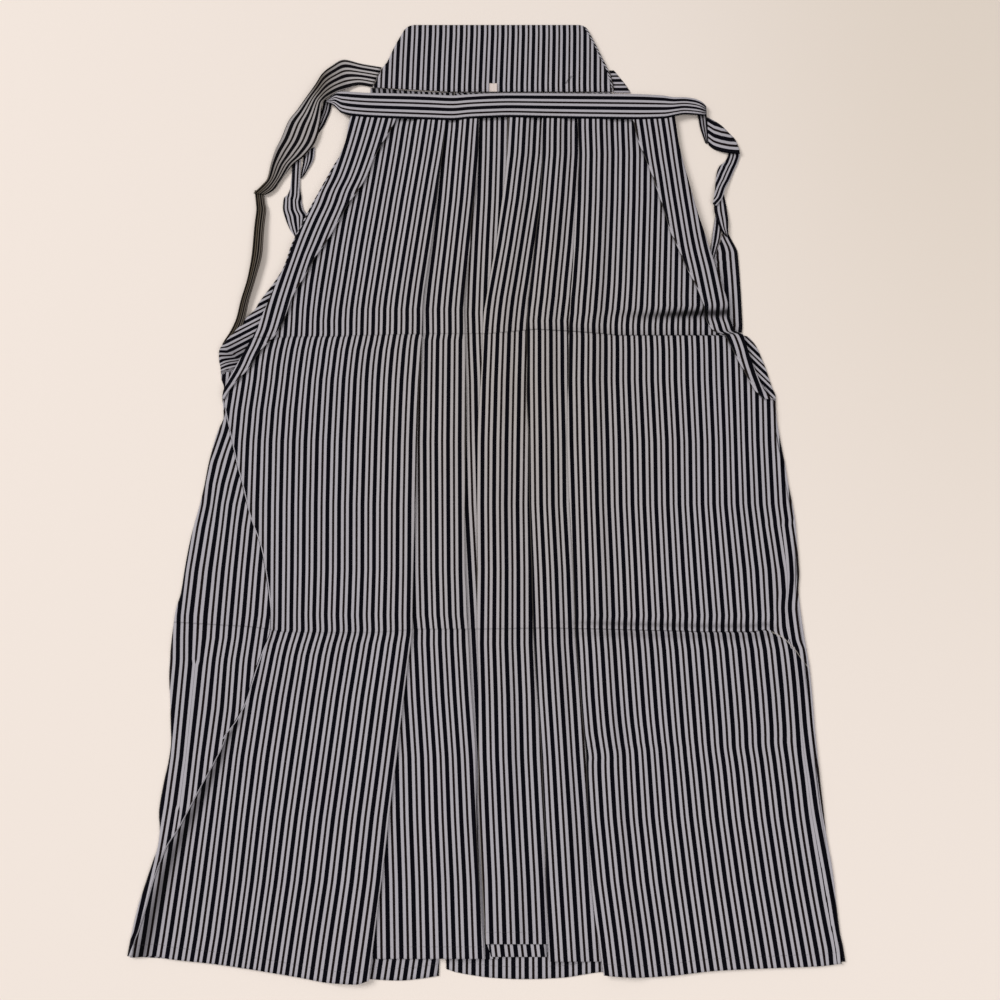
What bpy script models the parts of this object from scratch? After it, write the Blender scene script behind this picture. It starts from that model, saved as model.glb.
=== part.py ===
"""Men's pleated hakama with divided legs, laid flat on its back with the front up.

Lengths in the tables are millimetres. +X is the right side as seen from above, +Y runs from the hem
to the waist, and Z is the height above the surface that the garment lies on. Left and right are as seen.
"""

from collections import namedtuple
from math import cos, hypot, pi, sin

import bmesh
import bpy

MM = 0.001

# Cloth and layers
CLOTH = 1.0  # wall of one layer of cloth
GAP = 0.3  # air between two pieces that lie on each other
LAYER = CLOTH + GAP  # rise from one layer to the next
SEAM = 0.4  # half of what parts two panels that are sewn edge to edge
TIE = 1.6  # wall of a tie, which is sewn from folded cloth
TURN_STEPS = 3  # straight runs round a folded edge

# Pleats
PLEAT_SHARE = 0.4  # depth of a pleat as a share of the strip that bears it
SIDE_PLEAT = 22.0  # depth of the two outer pleats
RAMP = 8.0  # width over which a strip climbs onto its own pleat
CLEAR = 1.5  # from the hidden fold to the top of the ramp
CENTRE_TUCK = 10.0  # how far the left front runs under the right one
SLIT_FOLD_TUCK = 12.0  # depth of the fold along a side opening

# Heights along the garment
SLIT_END = 44.0  # the side openings end here
DROP_START, DROP_END = 36.0, -10.0  # between these the fronts sink by one layer
CREASE_HEIGHT = 2.0
CREASE_REACH = 14.0  # from the top of a storage crease to its foot
CREASES = (107.0, -173.0)

# The waistband's inner half ends here, just above the top of the fronts
BAND_INNER_EDGE = 354.0

# Back board and label
BOARD = 3.5
BOARD_EDGE = 0.9  # rounding of the board's edges
LABEL_WIDTH, LABEL_HEIGHT, LABEL_THICKNESS = 8.0, 10.0, 0.6
LABEL_PLACE = (5.0, 377.0)

# The left back tie's tail ends under a corner of the left back
TAIL_END = (-245.0, 99.0)
TAIL_LIFT, TAIL_LIFT_REACH = 2.9, 23.0

# Puts the middle of the whole outline at the origin
CENTRING = (0.25, 2.8)

STRIPED = (0.20, 0.19, 0.21)
BARE_LABEL = (0.80, 0.74, 0.66)

FrontRow = namedtuple("FrontRow", "y left fold_a fold_b fold_c fold_d fold_e right")
FRONT = (
    FrontRow(352, -136, -43, -10, 19, 54, 89, 186),
    FrontRow(340, -139, -43.5, -10, 19, 53.5, 89, 187),
    FrontRow(300, -148, -46, -10.5, 18, 53, 89.5, 190.5),
    FrontRow(260, -166, -50, -13, 14.5, 51, 87, 199),
    FrontRow(220, -183, -53.5, -17, 10, 47, 84, 208),
    FrontRow(180, -196, -58, -19.5, 4, 42.5, 81.5, 218),
    FrontRow(150, -207, -61.5, -22, -1, 39, 79, 225.5),
    FrontRow(128, -213, -62.5, -23, -4, 37, 77.5, 228),
    FrontRow(107, -220, -62.5, -22, -5, 36, 76, 236),
    FrontRow(80, -233, -63, -21, -5.5, 36.5, 75.5, 248.5),
    FrontRow(60, -243, -64, -21, -6.5, 36, 75, 253),
    FrontRow(44, -246, -64.5, -20.5, -7.5, 36, 74, 261),
    FrontRow(20, -240.5, -64.5, -20.5, -9, 37, 73.5, 264.5),
    FrontRow(0, -235, -65, -20.5, -9, 37.5, 73, 266),
    FrontRow(-40, -223, -65, -20.5, -9.5, 37.5, 73.5, 270.5),
    FrontRow(-100, -201, -66, -21, -9.5, 39, 75.5, 274.5),
    FrontRow(-140, -194, -66, -19, -9, 39.5, 76.5, 271.5),
    FrontRow(-173, -190, -65.5, -17, -8.5, 40, 76.5, 273),
    FrontRow(-200, -199, -68, -15.5, -8, 41.5, 78.5, 274.5),
    FrontRow(-240, -212, -72.5, -12.5, -7, 44, 81, 277),
    FrontRow(-280, -231, -76.5, -9.2, -7, 46, 84, 277.5),
    FrontRow(-320, -251, -80.5, -8.4, -6.5, 47.5, 84.5, 279.5),
    FrontRow(-350, -266, -83.5, -7.4, -5.5, 48.5, 85, 281),
    FrontRow(-400, -279, -88.5, -4.4, -2.5, 49.5, 88, 284),
    FrontRow(-430, -286, -92, -3, -1, 50.5, 92, 286),
)
FRONT_STATIONS = (
    352, 330, 290, 250, 210, 170, 140, 121, 107, 93, 66, 44, 22,
    -15, -60, -110, -159, -173, -187, -230, -280, -340, -400, -430,
)

BackRow = namedtuple("BackRow", "y left left_flap right right_flap")
BACK = (
    BackRow(370, -120, -98, 124, 104),
    BackRow(340, -128, -106, 138, 118),
    BackRow(300, -143, -121, 152, 131),
    BackRow(250, -165, -143, 172, 151),
    BackRow(200, -186, -163, 192, 171),
    BackRow(159, -206, -182, 208, 188),
    BackRow(131, -222, -197, 222, 203),
    BackRow(115, -234, -209, 228.5, 210),
    BackRow(106, -241, -217, 236.5, 218),
    BackRow(103, -243.5, -220, 246, 226),
    BackRow(90, -251, -228, 254.5, 236),
    BackRow(80, -252.5, -232, 258, 242),
    BackRow(66, -250, -238, 261.5, 250),
    BackRow(52, -245.5, -241.5, 265, 259),
    BackRow(44, -247, -244.5, 267.5, 263),
    BackRow(36, -247, -244, 267, 264.6),
    BackRow(22, -244.5, -241.5, 267, 264.5),
    BackRow(0, -251, -235.5, 268.5, 266),
    BackRow(-40, -256, -223.5, 273, 270.5),
    BackRow(-70, -262, -212, 276.5, 274),
    BackRow(-100, -266, -201.5, 277, 274.5),
    BackRow(-140, -270.5, -194.5, 274, 271.5),
    BackRow(-173, -274.5, -190.5, 275.5, 273),
    BackRow(-200, -276, -199.5, 277, 274.5),
    BackRow(-240, -271.5, -212.5, 280, 278),
    BackRow(-270, -268.5, -226.5, 280, 278),
    BackRow(-320, -274, -251.5, 282, 279.5),
    BackRow(-350, -271.5, -266.5, 283.5, 281),
    BackRow(-376, -278, -273, 285.5, 283),
    BackRow(-400, -285, -279.5, 286.5, 284),
    BackRow(-430, -289, -286.5, 288.5, 286),
)
BACK_STATIONS = (
    370, 330, 270, 210, 159, 131, 115, 106, 103, 97, 90, 80, 66, 52, 44, 36, 22,
    -15, -60, -110, -159, -173, -187, -235, -270, -320, -350, -376, -400, -430,
)
LEG_SPLIT = -35.0  # the back halves meet here, and part at the hem
SPLIT_HALF_WIDTH = 3.0

HemPoint = namedtuple("HemPoint", "x y")
FRONT_LEFT_HEM = (
    HemPoint(-288, -437), HemPoint(-260, -438), HemPoint(-220, -442), HemPoint(-190, -446),
    HemPoint(-150, -452), HemPoint(-125, -456), HemPoint(-90, -457),
)
FRONT_RIGHT_HEM = (
    HemPoint(90, -451), HemPoint(120, -452), HemPoint(150, -450), HemPoint(185, -447),
    HemPoint(240, -445.5), HemPoint(288, -442),
)
BACK_LEFT_HEM = (
    HemPoint(-289, -436), HemPoint(-220, -440), HemPoint(-150, -449), HemPoint(-94, -453),
    HemPoint(-70, -454), HemPoint(-38, -451),
)
BACK_RIGHT_HEM = (
    HemPoint(-32, -445.5), HemPoint(-15, -449), HemPoint(5, -452), HemPoint(30, -453),
    HemPoint(60, -452), HemPoint(95, -448), HemPoint(150, -446), HemPoint(289, -440),
)
BACK_TOP = (HemPoint(-121, 375.8), HemPoint(-40, 370.4), HemPoint(126, 370.4))
# Hems of the inner strips and of the layers folded under them
STRIP_AB_HEM, STRIP_CD_HEM, STRIP_DE_HEM = -438.5, -427.0, -440.0
UNDER_A_HEM, UNDER_C_HEM, UNDER_D_HEM, UNDER_E_HEM = -450.0, -436.0, -433.0, -446.0

SlitRow = namedtuple("SlitRow", "y outer inner")
SLIT_LEFT = (
    SlitRow(352, -136, -90), SlitRow(340, -139, -93), SlitRow(300, -148, -112),
    SlitRow(250, -170, -133), SlitRow(200, -191, -158), SlitRow(150, -207, -184.5),
    SlitRow(128, -213, -192), SlitRow(107, -220, -201), SlitRow(92, -228, -211),
    SlitRow(80, -233, -219), SlitRow(68, -239, -228), SlitRow(56, -243.5, -236.5),
    SlitRow(47, -246, -242),
)
SLIT_RIGHT = (
    SlitRow(352, 186, 141), SlitRow(340, 187, 144), SlitRow(300, 190.5, 156),
    SlitRow(250, 201, 168), SlitRow(200, 213, 182), SlitRow(150, 225.5, 201),
    SlitRow(128, 228, 206.5), SlitRow(112, 233, 212), SlitRow(100, 241.5, 225.5),
    SlitRow(92, 245, 230.5), SlitRow(80, 248.5, 236), SlitRow(68, 251, 241.5),
    SlitRow(56, 254.5, 247.5), SlitRow(47, 259, 254),
)
SLIT_STATIONS = (352, 330, 290, 250, 210, 170, 140, 121, 107, 93, 80, 68, 56, 47)

BandRow = namedtuple("BandRow", "x top bottom under over")
WAISTBAND = (
    BandRow(-164, 366, 359, 2.8, 4.1),
    BandRow(-157, 370, 352, 2.6, 4.3),
    BandRow(-148, 371.5, 345.5, 2.9, 5.6),
    BandRow(-139, 371, 343, 3.1, 7.0),
    BandRow(-120, 370, 342, 3.1, 7.0),
    BandRow(-80, 369, 340, 3.1, 7.0),
    BandRow(-40, 368.3, 339.5, 3.1, 7.0),
    BandRow(0, 369, 341, 3.1, 7.0),
    BandRow(20, 369.8, 342, 3.1, 7.0),
    BandRow(60, 369.6, 341, 3.1, 7.0),
    BandRow(110, 369.2, 340, 3.1, 7.0),
    BandRow(150, 368.6, 339.5, 3.1, 7.0),
    BandRow(176, 367, 340.5, 3.1, 7.0),
    BandRow(188, 365, 343.5, 3.1, 6.9),
    BandRow(197, 363.5, 346, 2.9, 5.6),
    BandRow(207, 362, 348, 2.8, 4.5),
    BandRow(215, 359, 349.3, 2.8, 4.1),
    BandRow(219, 356, 350.3, 2.8, 4.1),
)

# A tie's stretches: both edges of each cross row, and the height of its underside at each edge
TieRow = namedtuple("TieRow", "left_x left_y right_x right_y left_z right_z")
BACK_TIE_LEFT_1 = (
    TieRow(-109.5, 400, -118.4, 377.2, 0.9, 0.9),
    TieRow(-130, 404, -131, 379.5, 0.9, 0.9),
    TieRow(-148, 409, -142, 376, 1.5, 1.5),
    TieRow(-160, 402, -152, 372, 3.0, 5.1),
    TieRow(-170, 392, -160, 367, 3.5, 5.2),
    TieRow(-176, 380, -166, 362, 4.4, 5.2),
    TieRow(-184, 366, -169, 356, 3.6, 4.8),
    TieRow(-193, 350, -169, 342, 2.2, 3.0),
    TieRow(-201, 337, -170, 328, 1.6, 2.2),
    TieRow(-207, 318, -173, 314, 1.6, 2.2),
    TieRow(-213, 302, -182, 299, 1.6, 2.2),
    TieRow(-216, 288, -194, 288, 1.6, 2.2),
    TieRow(-218.5, 272, -204, 272, 1.6, 1.6),
    TieRow(-224, 264, -212, 259, 1.9, 1.9),
    TieRow(-231, 256, -219, 254.5, 2.2, 2.2),
)
BACK_TIE_LEFT_2 = (
    TieRow(-229.5, 259, -220, 258, 0, 0),
    TieRow(-227.5, 243, -218, 241, 0, 0),
    TieRow(-227.5, 225, -219, 225, 0, 0),
    TieRow(-229, 205, -221, 205, 0, 0),
    TieRow(-232, 180, -224.5, 180, 0, 0),
    TieRow(-236.5, 152, -229, 152, 0, 0),
    TieRow(-241, 130, -232.5, 130, 0, 0),
    TieRow(-244, 118, -234.5, 118, 0, 0),
    TieRow(-248.5, 105, -241, 104, 0, 0),
    TieRow(-249.5, 96, -243, 94, 0, 0),
)
BACK_TIE_RIGHT = (
    TieRow(122.6, 396, 127, 396, 0, 0),
    TieRow(124.6, 388, 132.5, 388, 0, 0),
    TieRow(125.9, 380, 138, 380, 0, 0),
    TieRow(126.6, 370.3, 143.2, 370.3, 0, 0),
)
FRONT_TIE_LEFT_1 = (
    TieRow(-166, 362, -158.5, 361, 0, 0),
    TieRow(-167, 350, -159, 350, 0, 0),
    TieRow(-169, 340, -160.5, 340, 0, 0),
    TieRow(-171, 329, -162.5, 331, 0, 0),
    TieRow(-175, 317, -167, 319, 0, 0),
    TieRow(-180, 309, -173, 311.5, 0, 0),
)
FRONT_TIE_LEFT_2 = (
    TieRow(-183, 303, -173, 307.5, 0, 0),
    TieRow(-184, 290, -173.5, 296, 0, 0),
    TieRow(-185, 280, -177, 286, 0, 0),
    TieRow(-185.2, 272, -182.6, 276, 0, 0),
)
FRONT_TIE_LEFT_3 = (
    TieRow(-194.5, 298, -186.4, 298, 0, 0),
    TieRow(-194.5, 280, -186.3, 282, 0, 0),
    TieRow(-195, 264, -185.8, 264, 0, 0),
    TieRow(-197, 255, -184, 252, 0, 0),
    TieRow(-201, 249.5, -183, 245, 0, 0),
    TieRow(-201.3, 240, -181, 237.5, 0, 0),
    TieRow(-198.5, 229, -177, 231, 0, 0),
    TieRow(-193.5, 217, -178.5, 226, 0, 0),
    TieRow(-187.5, 208, -181, 219, 0, 0),
)
FRONT_TIE_RIGHT_1 = (
    TieRow(210.5, 354, 218.9, 354, 0, 0),
    TieRow(210.5, 346, 218.9, 346, 0, 0),
    TieRow(211.5, 332, 218.9, 334, 0, 0),
    TieRow(214, 321, 218.7, 322, 0, 0),
    TieRow(216.6, 312, 218.5, 312, 0, 0),
)
FRONT_TIE_RIGHT_2 = (
    TieRow(219.5, 341.5, 219.2, 310, 0, 0),
    TieRow(226, 337.5, 224, 305.5, 0, 0.4),
    TieRow(233, 332, 232, 302.5, 0, 1.8),
    TieRow(240, 323.5, 240, 300.8, 0, 2.4),
    TieRow(246, 315.5, 246, 300.2, 0.8, 2.4),
    TieRow(249.3, 304, 249.8, 300, 2.0, 2.0),
)
FRONT_TIE_RIGHT_3 = (
    TieRow(240.5, 304.5, 247.5, 303.5, 0, 0),
    TieRow(238.5, 299, 249.5, 298, 0, 0),
    TieRow(233.5, 292, 247, 290, 0, 0),
    TieRow(227.5, 284, 242.5, 280, 0, 0),
    TieRow(224.5, 273, 238, 270, 0.5, 0.5),
    TieRow(223, 262, 233.5, 262, 1.8, 1.8),
    TieRow(221.5, 252, 229.5, 251, 2.5, 2.5),
    TieRow(220, 244, 223, 242.5, 2.6, 2.6),
)
FRONT_TIE_RIGHT_4 = (
    TieRow(223.5, 257, 231, 255, 0, 0),
    TieRow(221.5, 247, 232.3, 245, 0, 0),
    TieRow(220.8, 238, 233.2, 236, 1.2, 0.8),
    TieRow(222.5, 228, 233.7, 226, 2.1, 1.6),
    TieRow(226, 217, 233, 216, 2.1, 2.0),
    TieRow(231, 209, 232.8, 208.5, 2.1, 2.1),
)
FRONT_TIE_RIGHT_5 = (
    TieRow(219.8, 231, 224, 229, 0, 0),
    TieRow(219, 222, 226.5, 219, 0, 0),
    TieRow(217.6, 210, 225, 207, 0, 0),
    TieRow(215.8, 198, 221.8, 197, 0, 0),
    TieRow(213.5, 187, 218.5, 187, 0, 0),
    TieRow(212, 181, 216.5, 181, 0, 0),
)
FRONT_TIE_RIGHT_6 = (
    TieRow(228, 214, 233, 211, 0, 0),
    TieRow(226, 206, 236.5, 203, 0, 0),
    TieRow(223.5, 199, 239.5, 196, 0, 0),
    TieRow(220.4, 191, 240.8, 191, 0, 0),
    TieRow(217.4, 181, 241, 181, 0, 0),
    TieRow(220, 165, 241.2, 165, 0, 0),
    TieRow(223.5, 150, 241.2, 150, 0, 0),
    TieRow(226, 130, 241, 130, 0, 0),
    TieRow(229.2, 115, 240.7, 115, 0, 0),
    TieRow(236, 108, 239.7, 108, 0, 0),
)

# Outline of the back board, anticlockwise from its lower left corner
BoardPoint = namedtuple("BoardPoint", "x y")
BOARD_OUTLINE = (
    BoardPoint(-117.6, 376.4), BoardPoint(-40, 371), BoardPoint(126, 371), BoardPoint(124.4, 384),
    BoardPoint(121.5, 396), BoardPoint(108, 430), BoardPoint(101, 446), BoardPoint(97.5, 450),
    BoardPoint(92, 451.4), BoardPoint(-78, 451), BoardPoint(-83, 449.8), BoardPoint(-87, 446),
    BoardPoint(-91.5, 437), BoardPoint(-97.5, 424), BoardPoint(-104, 406.5), BoardPoint(-108.6, 400),
)


def clear_scene():
    for obj in list(bpy.data.objects):
        bpy.data.objects.remove(obj, do_unlink=True)


def read(rows, place, column):
    """One named column of a table, at a place between its rows, on a curve that never overshoots."""
    rows = sorted(rows, key=lambda row: row[0])
    places = [row[0] for row in rows]
    values = [getattr(row, column) for row in rows]
    place = min(max(place, places[0]), places[-1])
    steps = [(b - a) / (d - c) for a, b, c, d in zip(values, values[1:], places, places[1:])]

    def slope(k):
        if k in (0, len(steps)):
            return steps[min(k, len(steps) - 1)]
        before, after = steps[k - 1], steps[k]
        return 0.0 if before * after <= 0 else 2 * before * after / (before + after)

    k = max(i for i in range(len(steps)) if places[i] <= place)
    width = places[k + 1] - places[k]
    t = (place - places[k]) / width
    start, end = values[k], values[k + 1]
    return (
        start * (2 * t**3 - 3 * t**2 + 1)
        + end * (3 * t**2 - 2 * t**3)
        + width * (slope(k) * (t**3 - 2 * t**2 + t) + slope(k + 1) * (t**3 - t**2))
    )


def soft_step(value, start, end):
    """0 at start, 1 at end, with no corner at either."""
    t = min(max((value - start) / (end - start), 0.0), 1.0)
    return t * t * (3 - 2 * t)


def crease_lift(y):
    """Height of the two ridges left by folding the garment for storage."""
    near = min(abs(y - crease) for crease in CREASES)
    return CREASE_HEIGHT * (1 + cos(pi * near / CREASE_REACH)) / 2 if near < CREASE_REACH else 0.0


def front_height(y, level):
    """Middle of a front layer: the fronts lie on the folded slit edges, and lower below them."""
    under = 1 + soft_step(y, DROP_END, DROP_START)
    return (under + level) * LAYER + CLOTH / 2 + crease_lift(y)


def tail_lift(x, y):
    """How far the left back is raised by the tie that ends under its corner."""
    away = hypot(x - TAIL_END[0], y - TAIL_END[1]) / TAIL_LIFT_REACH
    return TAIL_LIFT * (1 - away**2) ** 2 if away < 1 else 0.0


def turn(edge, facing, start, end, hem):
    """A folded edge: half a circle from one level to another that reaches the edge from inside."""
    reach = abs(end - start) * LAYER / 2
    centre = edge - facing * (reach + CLOTH / 2)
    points = []
    for step in range(TURN_STEPS + 1):
        angle = pi * (step / TURN_STEPS - 0.5)
        level = (start + end) / 2 + (end - start) / 2 * sin(angle)
        points.append((centre + facing * reach * cos(angle), level, hem))
    return points


def raised_edge(edge, facing, depth, hem):
    """The end of a strip as it climbs onto its pleat and turns down at the fold, to level 1."""
    inner = edge - facing * depth
    foot = inner - facing * (RAMP + CLEAR)
    top = inner - facing * CLEAR
    return [(foot, 0, hem(foot)), (top, 2, hem(top)), *turn(edge, facing, 2, 1, hem(edge))]


def knife_pleat(edge, facing, depth, hem, under_hem):
    """One pleat: the strip that bears it, the fold, the layer under it and the way back out."""
    return raised_edge(edge, facing, depth, hem) + turn(edge - facing * depth, -facing, 1, 0, under_hem)


def front_left_section(y):
    row = {name: read(FRONT, y, name) for name in ("left", "fold_a", "fold_b", "fold_c")}
    strip_ab = row["fold_b"] - row["fold_a"]
    outer_hem = lambda x: read(FRONT_LEFT_HEM, x, "y")
    left = row["left"] + SEAM
    start = [(left, 0, outer_hem(left)), (left + 30, 0, outer_hem(left + 30))]
    return [
        *start,
        *knife_pleat(row["fold_a"], 1, SIDE_PLEAT, outer_hem, UNDER_A_HEM),
        *knife_pleat(row["fold_b"], 1, PLEAT_SHARE * strip_ab, lambda x: STRIP_AB_HEM, STRIP_AB_HEM),
        (row["fold_c"] + CENTRE_TUCK, 0, STRIP_AB_HEM),
    ]


def front_right_section(y):
    row = {name: read(FRONT, y, name) for name in ("fold_c", "fold_d", "fold_e", "right")}
    depth_c = PLEAT_SHARE * (row["fold_d"] - row["fold_c"])
    depth_d = PLEAT_SHARE * (row["fold_e"] - row["fold_d"])
    outer_hem = lambda x: read(FRONT_RIGHT_HEM, x, "y")
    right = row["right"] - SEAM
    start = [(right, 0, outer_hem(right)), (right - 30, 0, outer_hem(right - 30))]
    return [
        *start,
        *knife_pleat(row["fold_e"], -1, SIDE_PLEAT, outer_hem, UNDER_E_HEM),
        *knife_pleat(row["fold_d"], -1, depth_d, lambda x: STRIP_DE_HEM, UNDER_D_HEM),
        *raised_edge(row["fold_c"], -1, depth_c, lambda x: STRIP_CD_HEM),
        (row["fold_c"] + depth_c, 1, UNDER_C_HEM),
    ]


def front_rows(section):
    """Points of a whole front, station by station; the last station follows the hem."""
    rows = []
    for y in FRONT_STATIONS:
        last = y == FRONT_STATIONS[-1]
        rows.append([(x, hem if last else y, front_height(y, level)) for x, level, hem in section(y)])
    return rows


def slit_fold_rows(table, facing):
    """The tapered fold on a front's slanted edge: its fold faces the middle of the garment."""
    rows = []
    for y in SLIT_STATIONS:
        outer, inner = read(table, y, "outer"), read(table, y, "inner")
        tuck = min(SLIT_FOLD_TUCK, 0.6 * abs(outer - inner))
        section = [
            (outer, 2, 0),
            *turn(inner, facing, 2, 1, 0),
            (inner - facing * tuck, 1, 0),
        ]
        rows.append([(x, y, front_height(y, level)) for x, level, _ in section])
    return rows


def back_rows(side, hem_table):
    """One half of the back on the surface, its outer edge turned over to the front as a flap."""
    outward = -1 if side == "left" else 1
    rows = []
    for y in BACK_STATIONS:
        edge, flap = read(BACK, y, side), read(BACK, y, side + "_flap")
        flap_start = edge - outward * (LAYER + CLOTH) / 2
        first, last = y == BACK_STATIONS[0], y == BACK_STATIONS[-1]
        split = LEG_SPLIT + outward * (SPLIT_HALF_WIDTH if last else SEAM)
        inside = [split, split + outward * 25, edge - outward * 55, edge - outward * 20]
        section = [(x, 0, 0.0) for x in inside + [edge - outward * 8]]
        section += [(x, level, 0.0) for x, level, _ in turn(edge, outward, 0, 1, 0)]
        section += [((flap_start + flap) / 2, 1, 0.5), (flap, 1, 1.0)]
        points = []
        for x, level, share in section:
            place = read(BACK_TOP, x, "y") if first else read(hem_table, x, "y") if last else y
            lift = tail_lift(x, y) + (share * crease_lift(y) if y < SLIT_END else 0.0)
            points.append((x, place, level * LAYER + CLOTH / 2 + lift))
        rows.append(points)
    return rows


def waistband_rows():
    """The band is folded at its top: its inner half meets the top of the fronts, its outer half laps them."""
    rows = []
    for row in WAISTBAND:
        reach = (row.over - row.under) / 2
        centre_y, centre_z = row.top - CLOTH / 2 - reach, (row.over + row.under) / 2
        arc = [pi * (step / TURN_STEPS - 0.5) for step in range(TURN_STEPS + 1)]
        section = [(max(row.bottom + 1.5, BAND_INNER_EDGE), row.under)]
        section += [(centre_y + reach * cos(angle), centre_z + reach * sin(angle)) for angle in arc]
        section.append((row.bottom, row.over))
        rows.append([(row.x, y, z) for y, z in section])
    return rows


def tie_rows(table):
    """A stretch of tie, two strips wide, with the middle of its wall at the given heights."""
    rows = []
    for row in table:
        left = (row.left_x, row.left_y, row.left_z + TIE / 2)
        right = (row.right_x, row.right_y, row.right_z + TIE / 2)
        middle = tuple((a + b) / 2 for a, b in zip(left, right))
        rows.append([left, middle, right])
    return rows


def finish(name, colour, roughness):
    material = bpy.data.materials.new(name + "_finish")
    material.use_nodes = True
    shader = material.node_tree.nodes["Principled BSDF"]
    shader.inputs["Base Color"].default_value = (*colour, 1.0)
    shader.inputs["Roughness"].default_value = roughness
    shader.inputs["Metallic"].default_value = 0.0
    return material


def add_part(name, data, collection, colour=STRIPED, roughness=0.85):
    part = bpy.data.objects.new(name, data)
    part.data.materials.append(finish(name, colour, roughness))
    collection.objects.link(part)
    return part


def wall(name, rows, thickness, collection):
    """A sheet through rows of points on its middle, given its thickness to both sides."""
    grid = bmesh.new()
    bmesh.ops.create_grid(grid, x_segments=len(rows[0]) - 1, y_segments=len(rows) - 1, size=1.0)
    grid.verts.ensure_lookup_table()
    for vert, point in zip(grid.verts, (point for row in rows for point in row)):
        vert.co = [length * MM for length in point]
    mesh = bpy.data.meshes.new(name)
    grid.to_mesh(mesh)
    grid.free()
    part = add_part(name, mesh, collection)
    thicken = part.modifiers.new("Thickness", "SOLIDIFY")
    thicken.thickness = thickness * MM
    thicken.offset = 0.0
    thicken.use_even_offset = True
    thicken.use_quality_normals = True
    return part


def back_board(collection):
    curve = bpy.data.curves.new("back_board", "CURVE")
    curve.dimensions = "2D"
    curve.fill_mode = "BOTH"
    curve.extrude = (BOARD / 2 - BOARD_EDGE) * MM
    curve.bevel_depth = BOARD_EDGE * MM
    curve.bevel_resolution = 1
    curve.offset = -BOARD_EDGE * MM
    spline = curve.splines.new("POLY")
    spline.points.add(len(BOARD_OUTLINE) - 1)
    for point, corner in zip(spline.points, BOARD_OUTLINE):
        point.co = (corner.x * MM, corner.y * MM, 0.0, 1.0)
    spline.use_cyclic_u = True
    board = add_part("back_board", curve, collection, roughness=0.8)
    board.location.z = BOARD / 2 * MM


def board_label(collection):
    bpy.ops.mesh.primitive_cube_add(size=1.0)
    label = bpy.context.active_object
    for owner in list(label.users_collection):
        owner.objects.unlink(label)
    label.name = "board_label"
    label.data.materials.append(finish("board_label", BARE_LABEL, 0.9))
    collection.objects.link(label)
    label.scale = (LABEL_WIDTH * MM, LABEL_HEIGHT * MM, LABEL_THICKNESS * MM)
    height = BOARD + GAP + LABEL_THICKNESS / 2
    label.location = (LABEL_PLACE[0] * MM, LABEL_PLACE[1] * MM, height * MM)


def build():
    clear_scene()
    hakama = bpy.data.collections.new("hakama")
    bpy.context.scene.collection.children.link(hakama)

    wall("back_left_leg", back_rows("left", BACK_LEFT_HEM), CLOTH, hakama)
    wall("back_right_leg", back_rows("right", BACK_RIGHT_HEM), CLOTH, hakama)
    wall("front_left_leg", front_rows(front_left_section), CLOTH, hakama)
    wall("front_right_leg", front_rows(front_right_section), CLOTH, hakama)
    wall("slit_fold_left", slit_fold_rows(SLIT_LEFT, 1), CLOTH, hakama)
    wall("slit_fold_right", slit_fold_rows(SLIT_RIGHT, -1), CLOTH, hakama)
    wall("front_waistband", waistband_rows(), CLOTH, hakama)

    ties = {
        "back_tie_left_1": BACK_TIE_LEFT_1,
        "back_tie_left_2": BACK_TIE_LEFT_2,
        "back_tie_right": BACK_TIE_RIGHT,
        "front_tie_left_1": FRONT_TIE_LEFT_1,
        "front_tie_left_2": FRONT_TIE_LEFT_2,
        "front_tie_left_3": FRONT_TIE_LEFT_3,
        "front_tie_right_1": FRONT_TIE_RIGHT_1,
        "front_tie_right_2": FRONT_TIE_RIGHT_2,
        "front_tie_right_3": FRONT_TIE_RIGHT_3,
        "front_tie_right_4": FRONT_TIE_RIGHT_4,
        "front_tie_right_5": FRONT_TIE_RIGHT_5,
        "front_tie_right_6": FRONT_TIE_RIGHT_6,
    }
    for name, table in ties.items():
        wall(name, tie_rows(table), TIE, hakama)
    back_board(hakama)
    board_label(hakama)
    for part in hakama.objects:
        part.location.x += CENTRING[0] * MM
        part.location.y += CENTRING[1] * MM


build()
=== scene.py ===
"""Looks of the pleated hakama: its striped cloth, folds, ties and back board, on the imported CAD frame.

Lengths in the tables are millimetres, with the same directions as the frame. Each table has a row per
height along the garment or per fold, and tells where an edge, a fold or a stripe runs there.
"""

from collections import namedtuple
from math import cos, hypot, pi, radians, sin

import bmesh
import bpy
import numpy as np
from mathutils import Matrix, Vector


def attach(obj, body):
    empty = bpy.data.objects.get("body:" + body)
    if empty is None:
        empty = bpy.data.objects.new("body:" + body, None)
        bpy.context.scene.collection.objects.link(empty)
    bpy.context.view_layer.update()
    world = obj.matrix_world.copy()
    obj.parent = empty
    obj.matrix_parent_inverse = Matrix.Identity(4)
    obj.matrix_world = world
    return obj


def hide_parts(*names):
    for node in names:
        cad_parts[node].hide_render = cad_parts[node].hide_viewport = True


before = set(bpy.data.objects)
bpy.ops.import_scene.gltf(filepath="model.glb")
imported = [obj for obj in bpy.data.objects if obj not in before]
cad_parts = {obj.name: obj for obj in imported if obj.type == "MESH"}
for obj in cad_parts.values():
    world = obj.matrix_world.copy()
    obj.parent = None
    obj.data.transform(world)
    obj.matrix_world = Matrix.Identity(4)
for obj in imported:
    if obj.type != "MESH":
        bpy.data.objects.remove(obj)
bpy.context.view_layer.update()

MM = 0.001
LAYER = 1.3  # rise from one layer of cloth to the next
MIDDLE = 0.5  # height of the middle of the lowest layer
CLOTH = 0.62  # thickness of the cloth as it is shown
TIE = 1.3  # height that a folded tie takes up
PITCH = 10.7  # repeat of the stripes
BAND_PITCH = 11.5  # the same on the waistband and round the board's piping
HEM_SEAM, EDGE_SEAM, TIE_SEAM = 9.0, 2.8, 1.5  # how far in from its edge each seam is sewn
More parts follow.
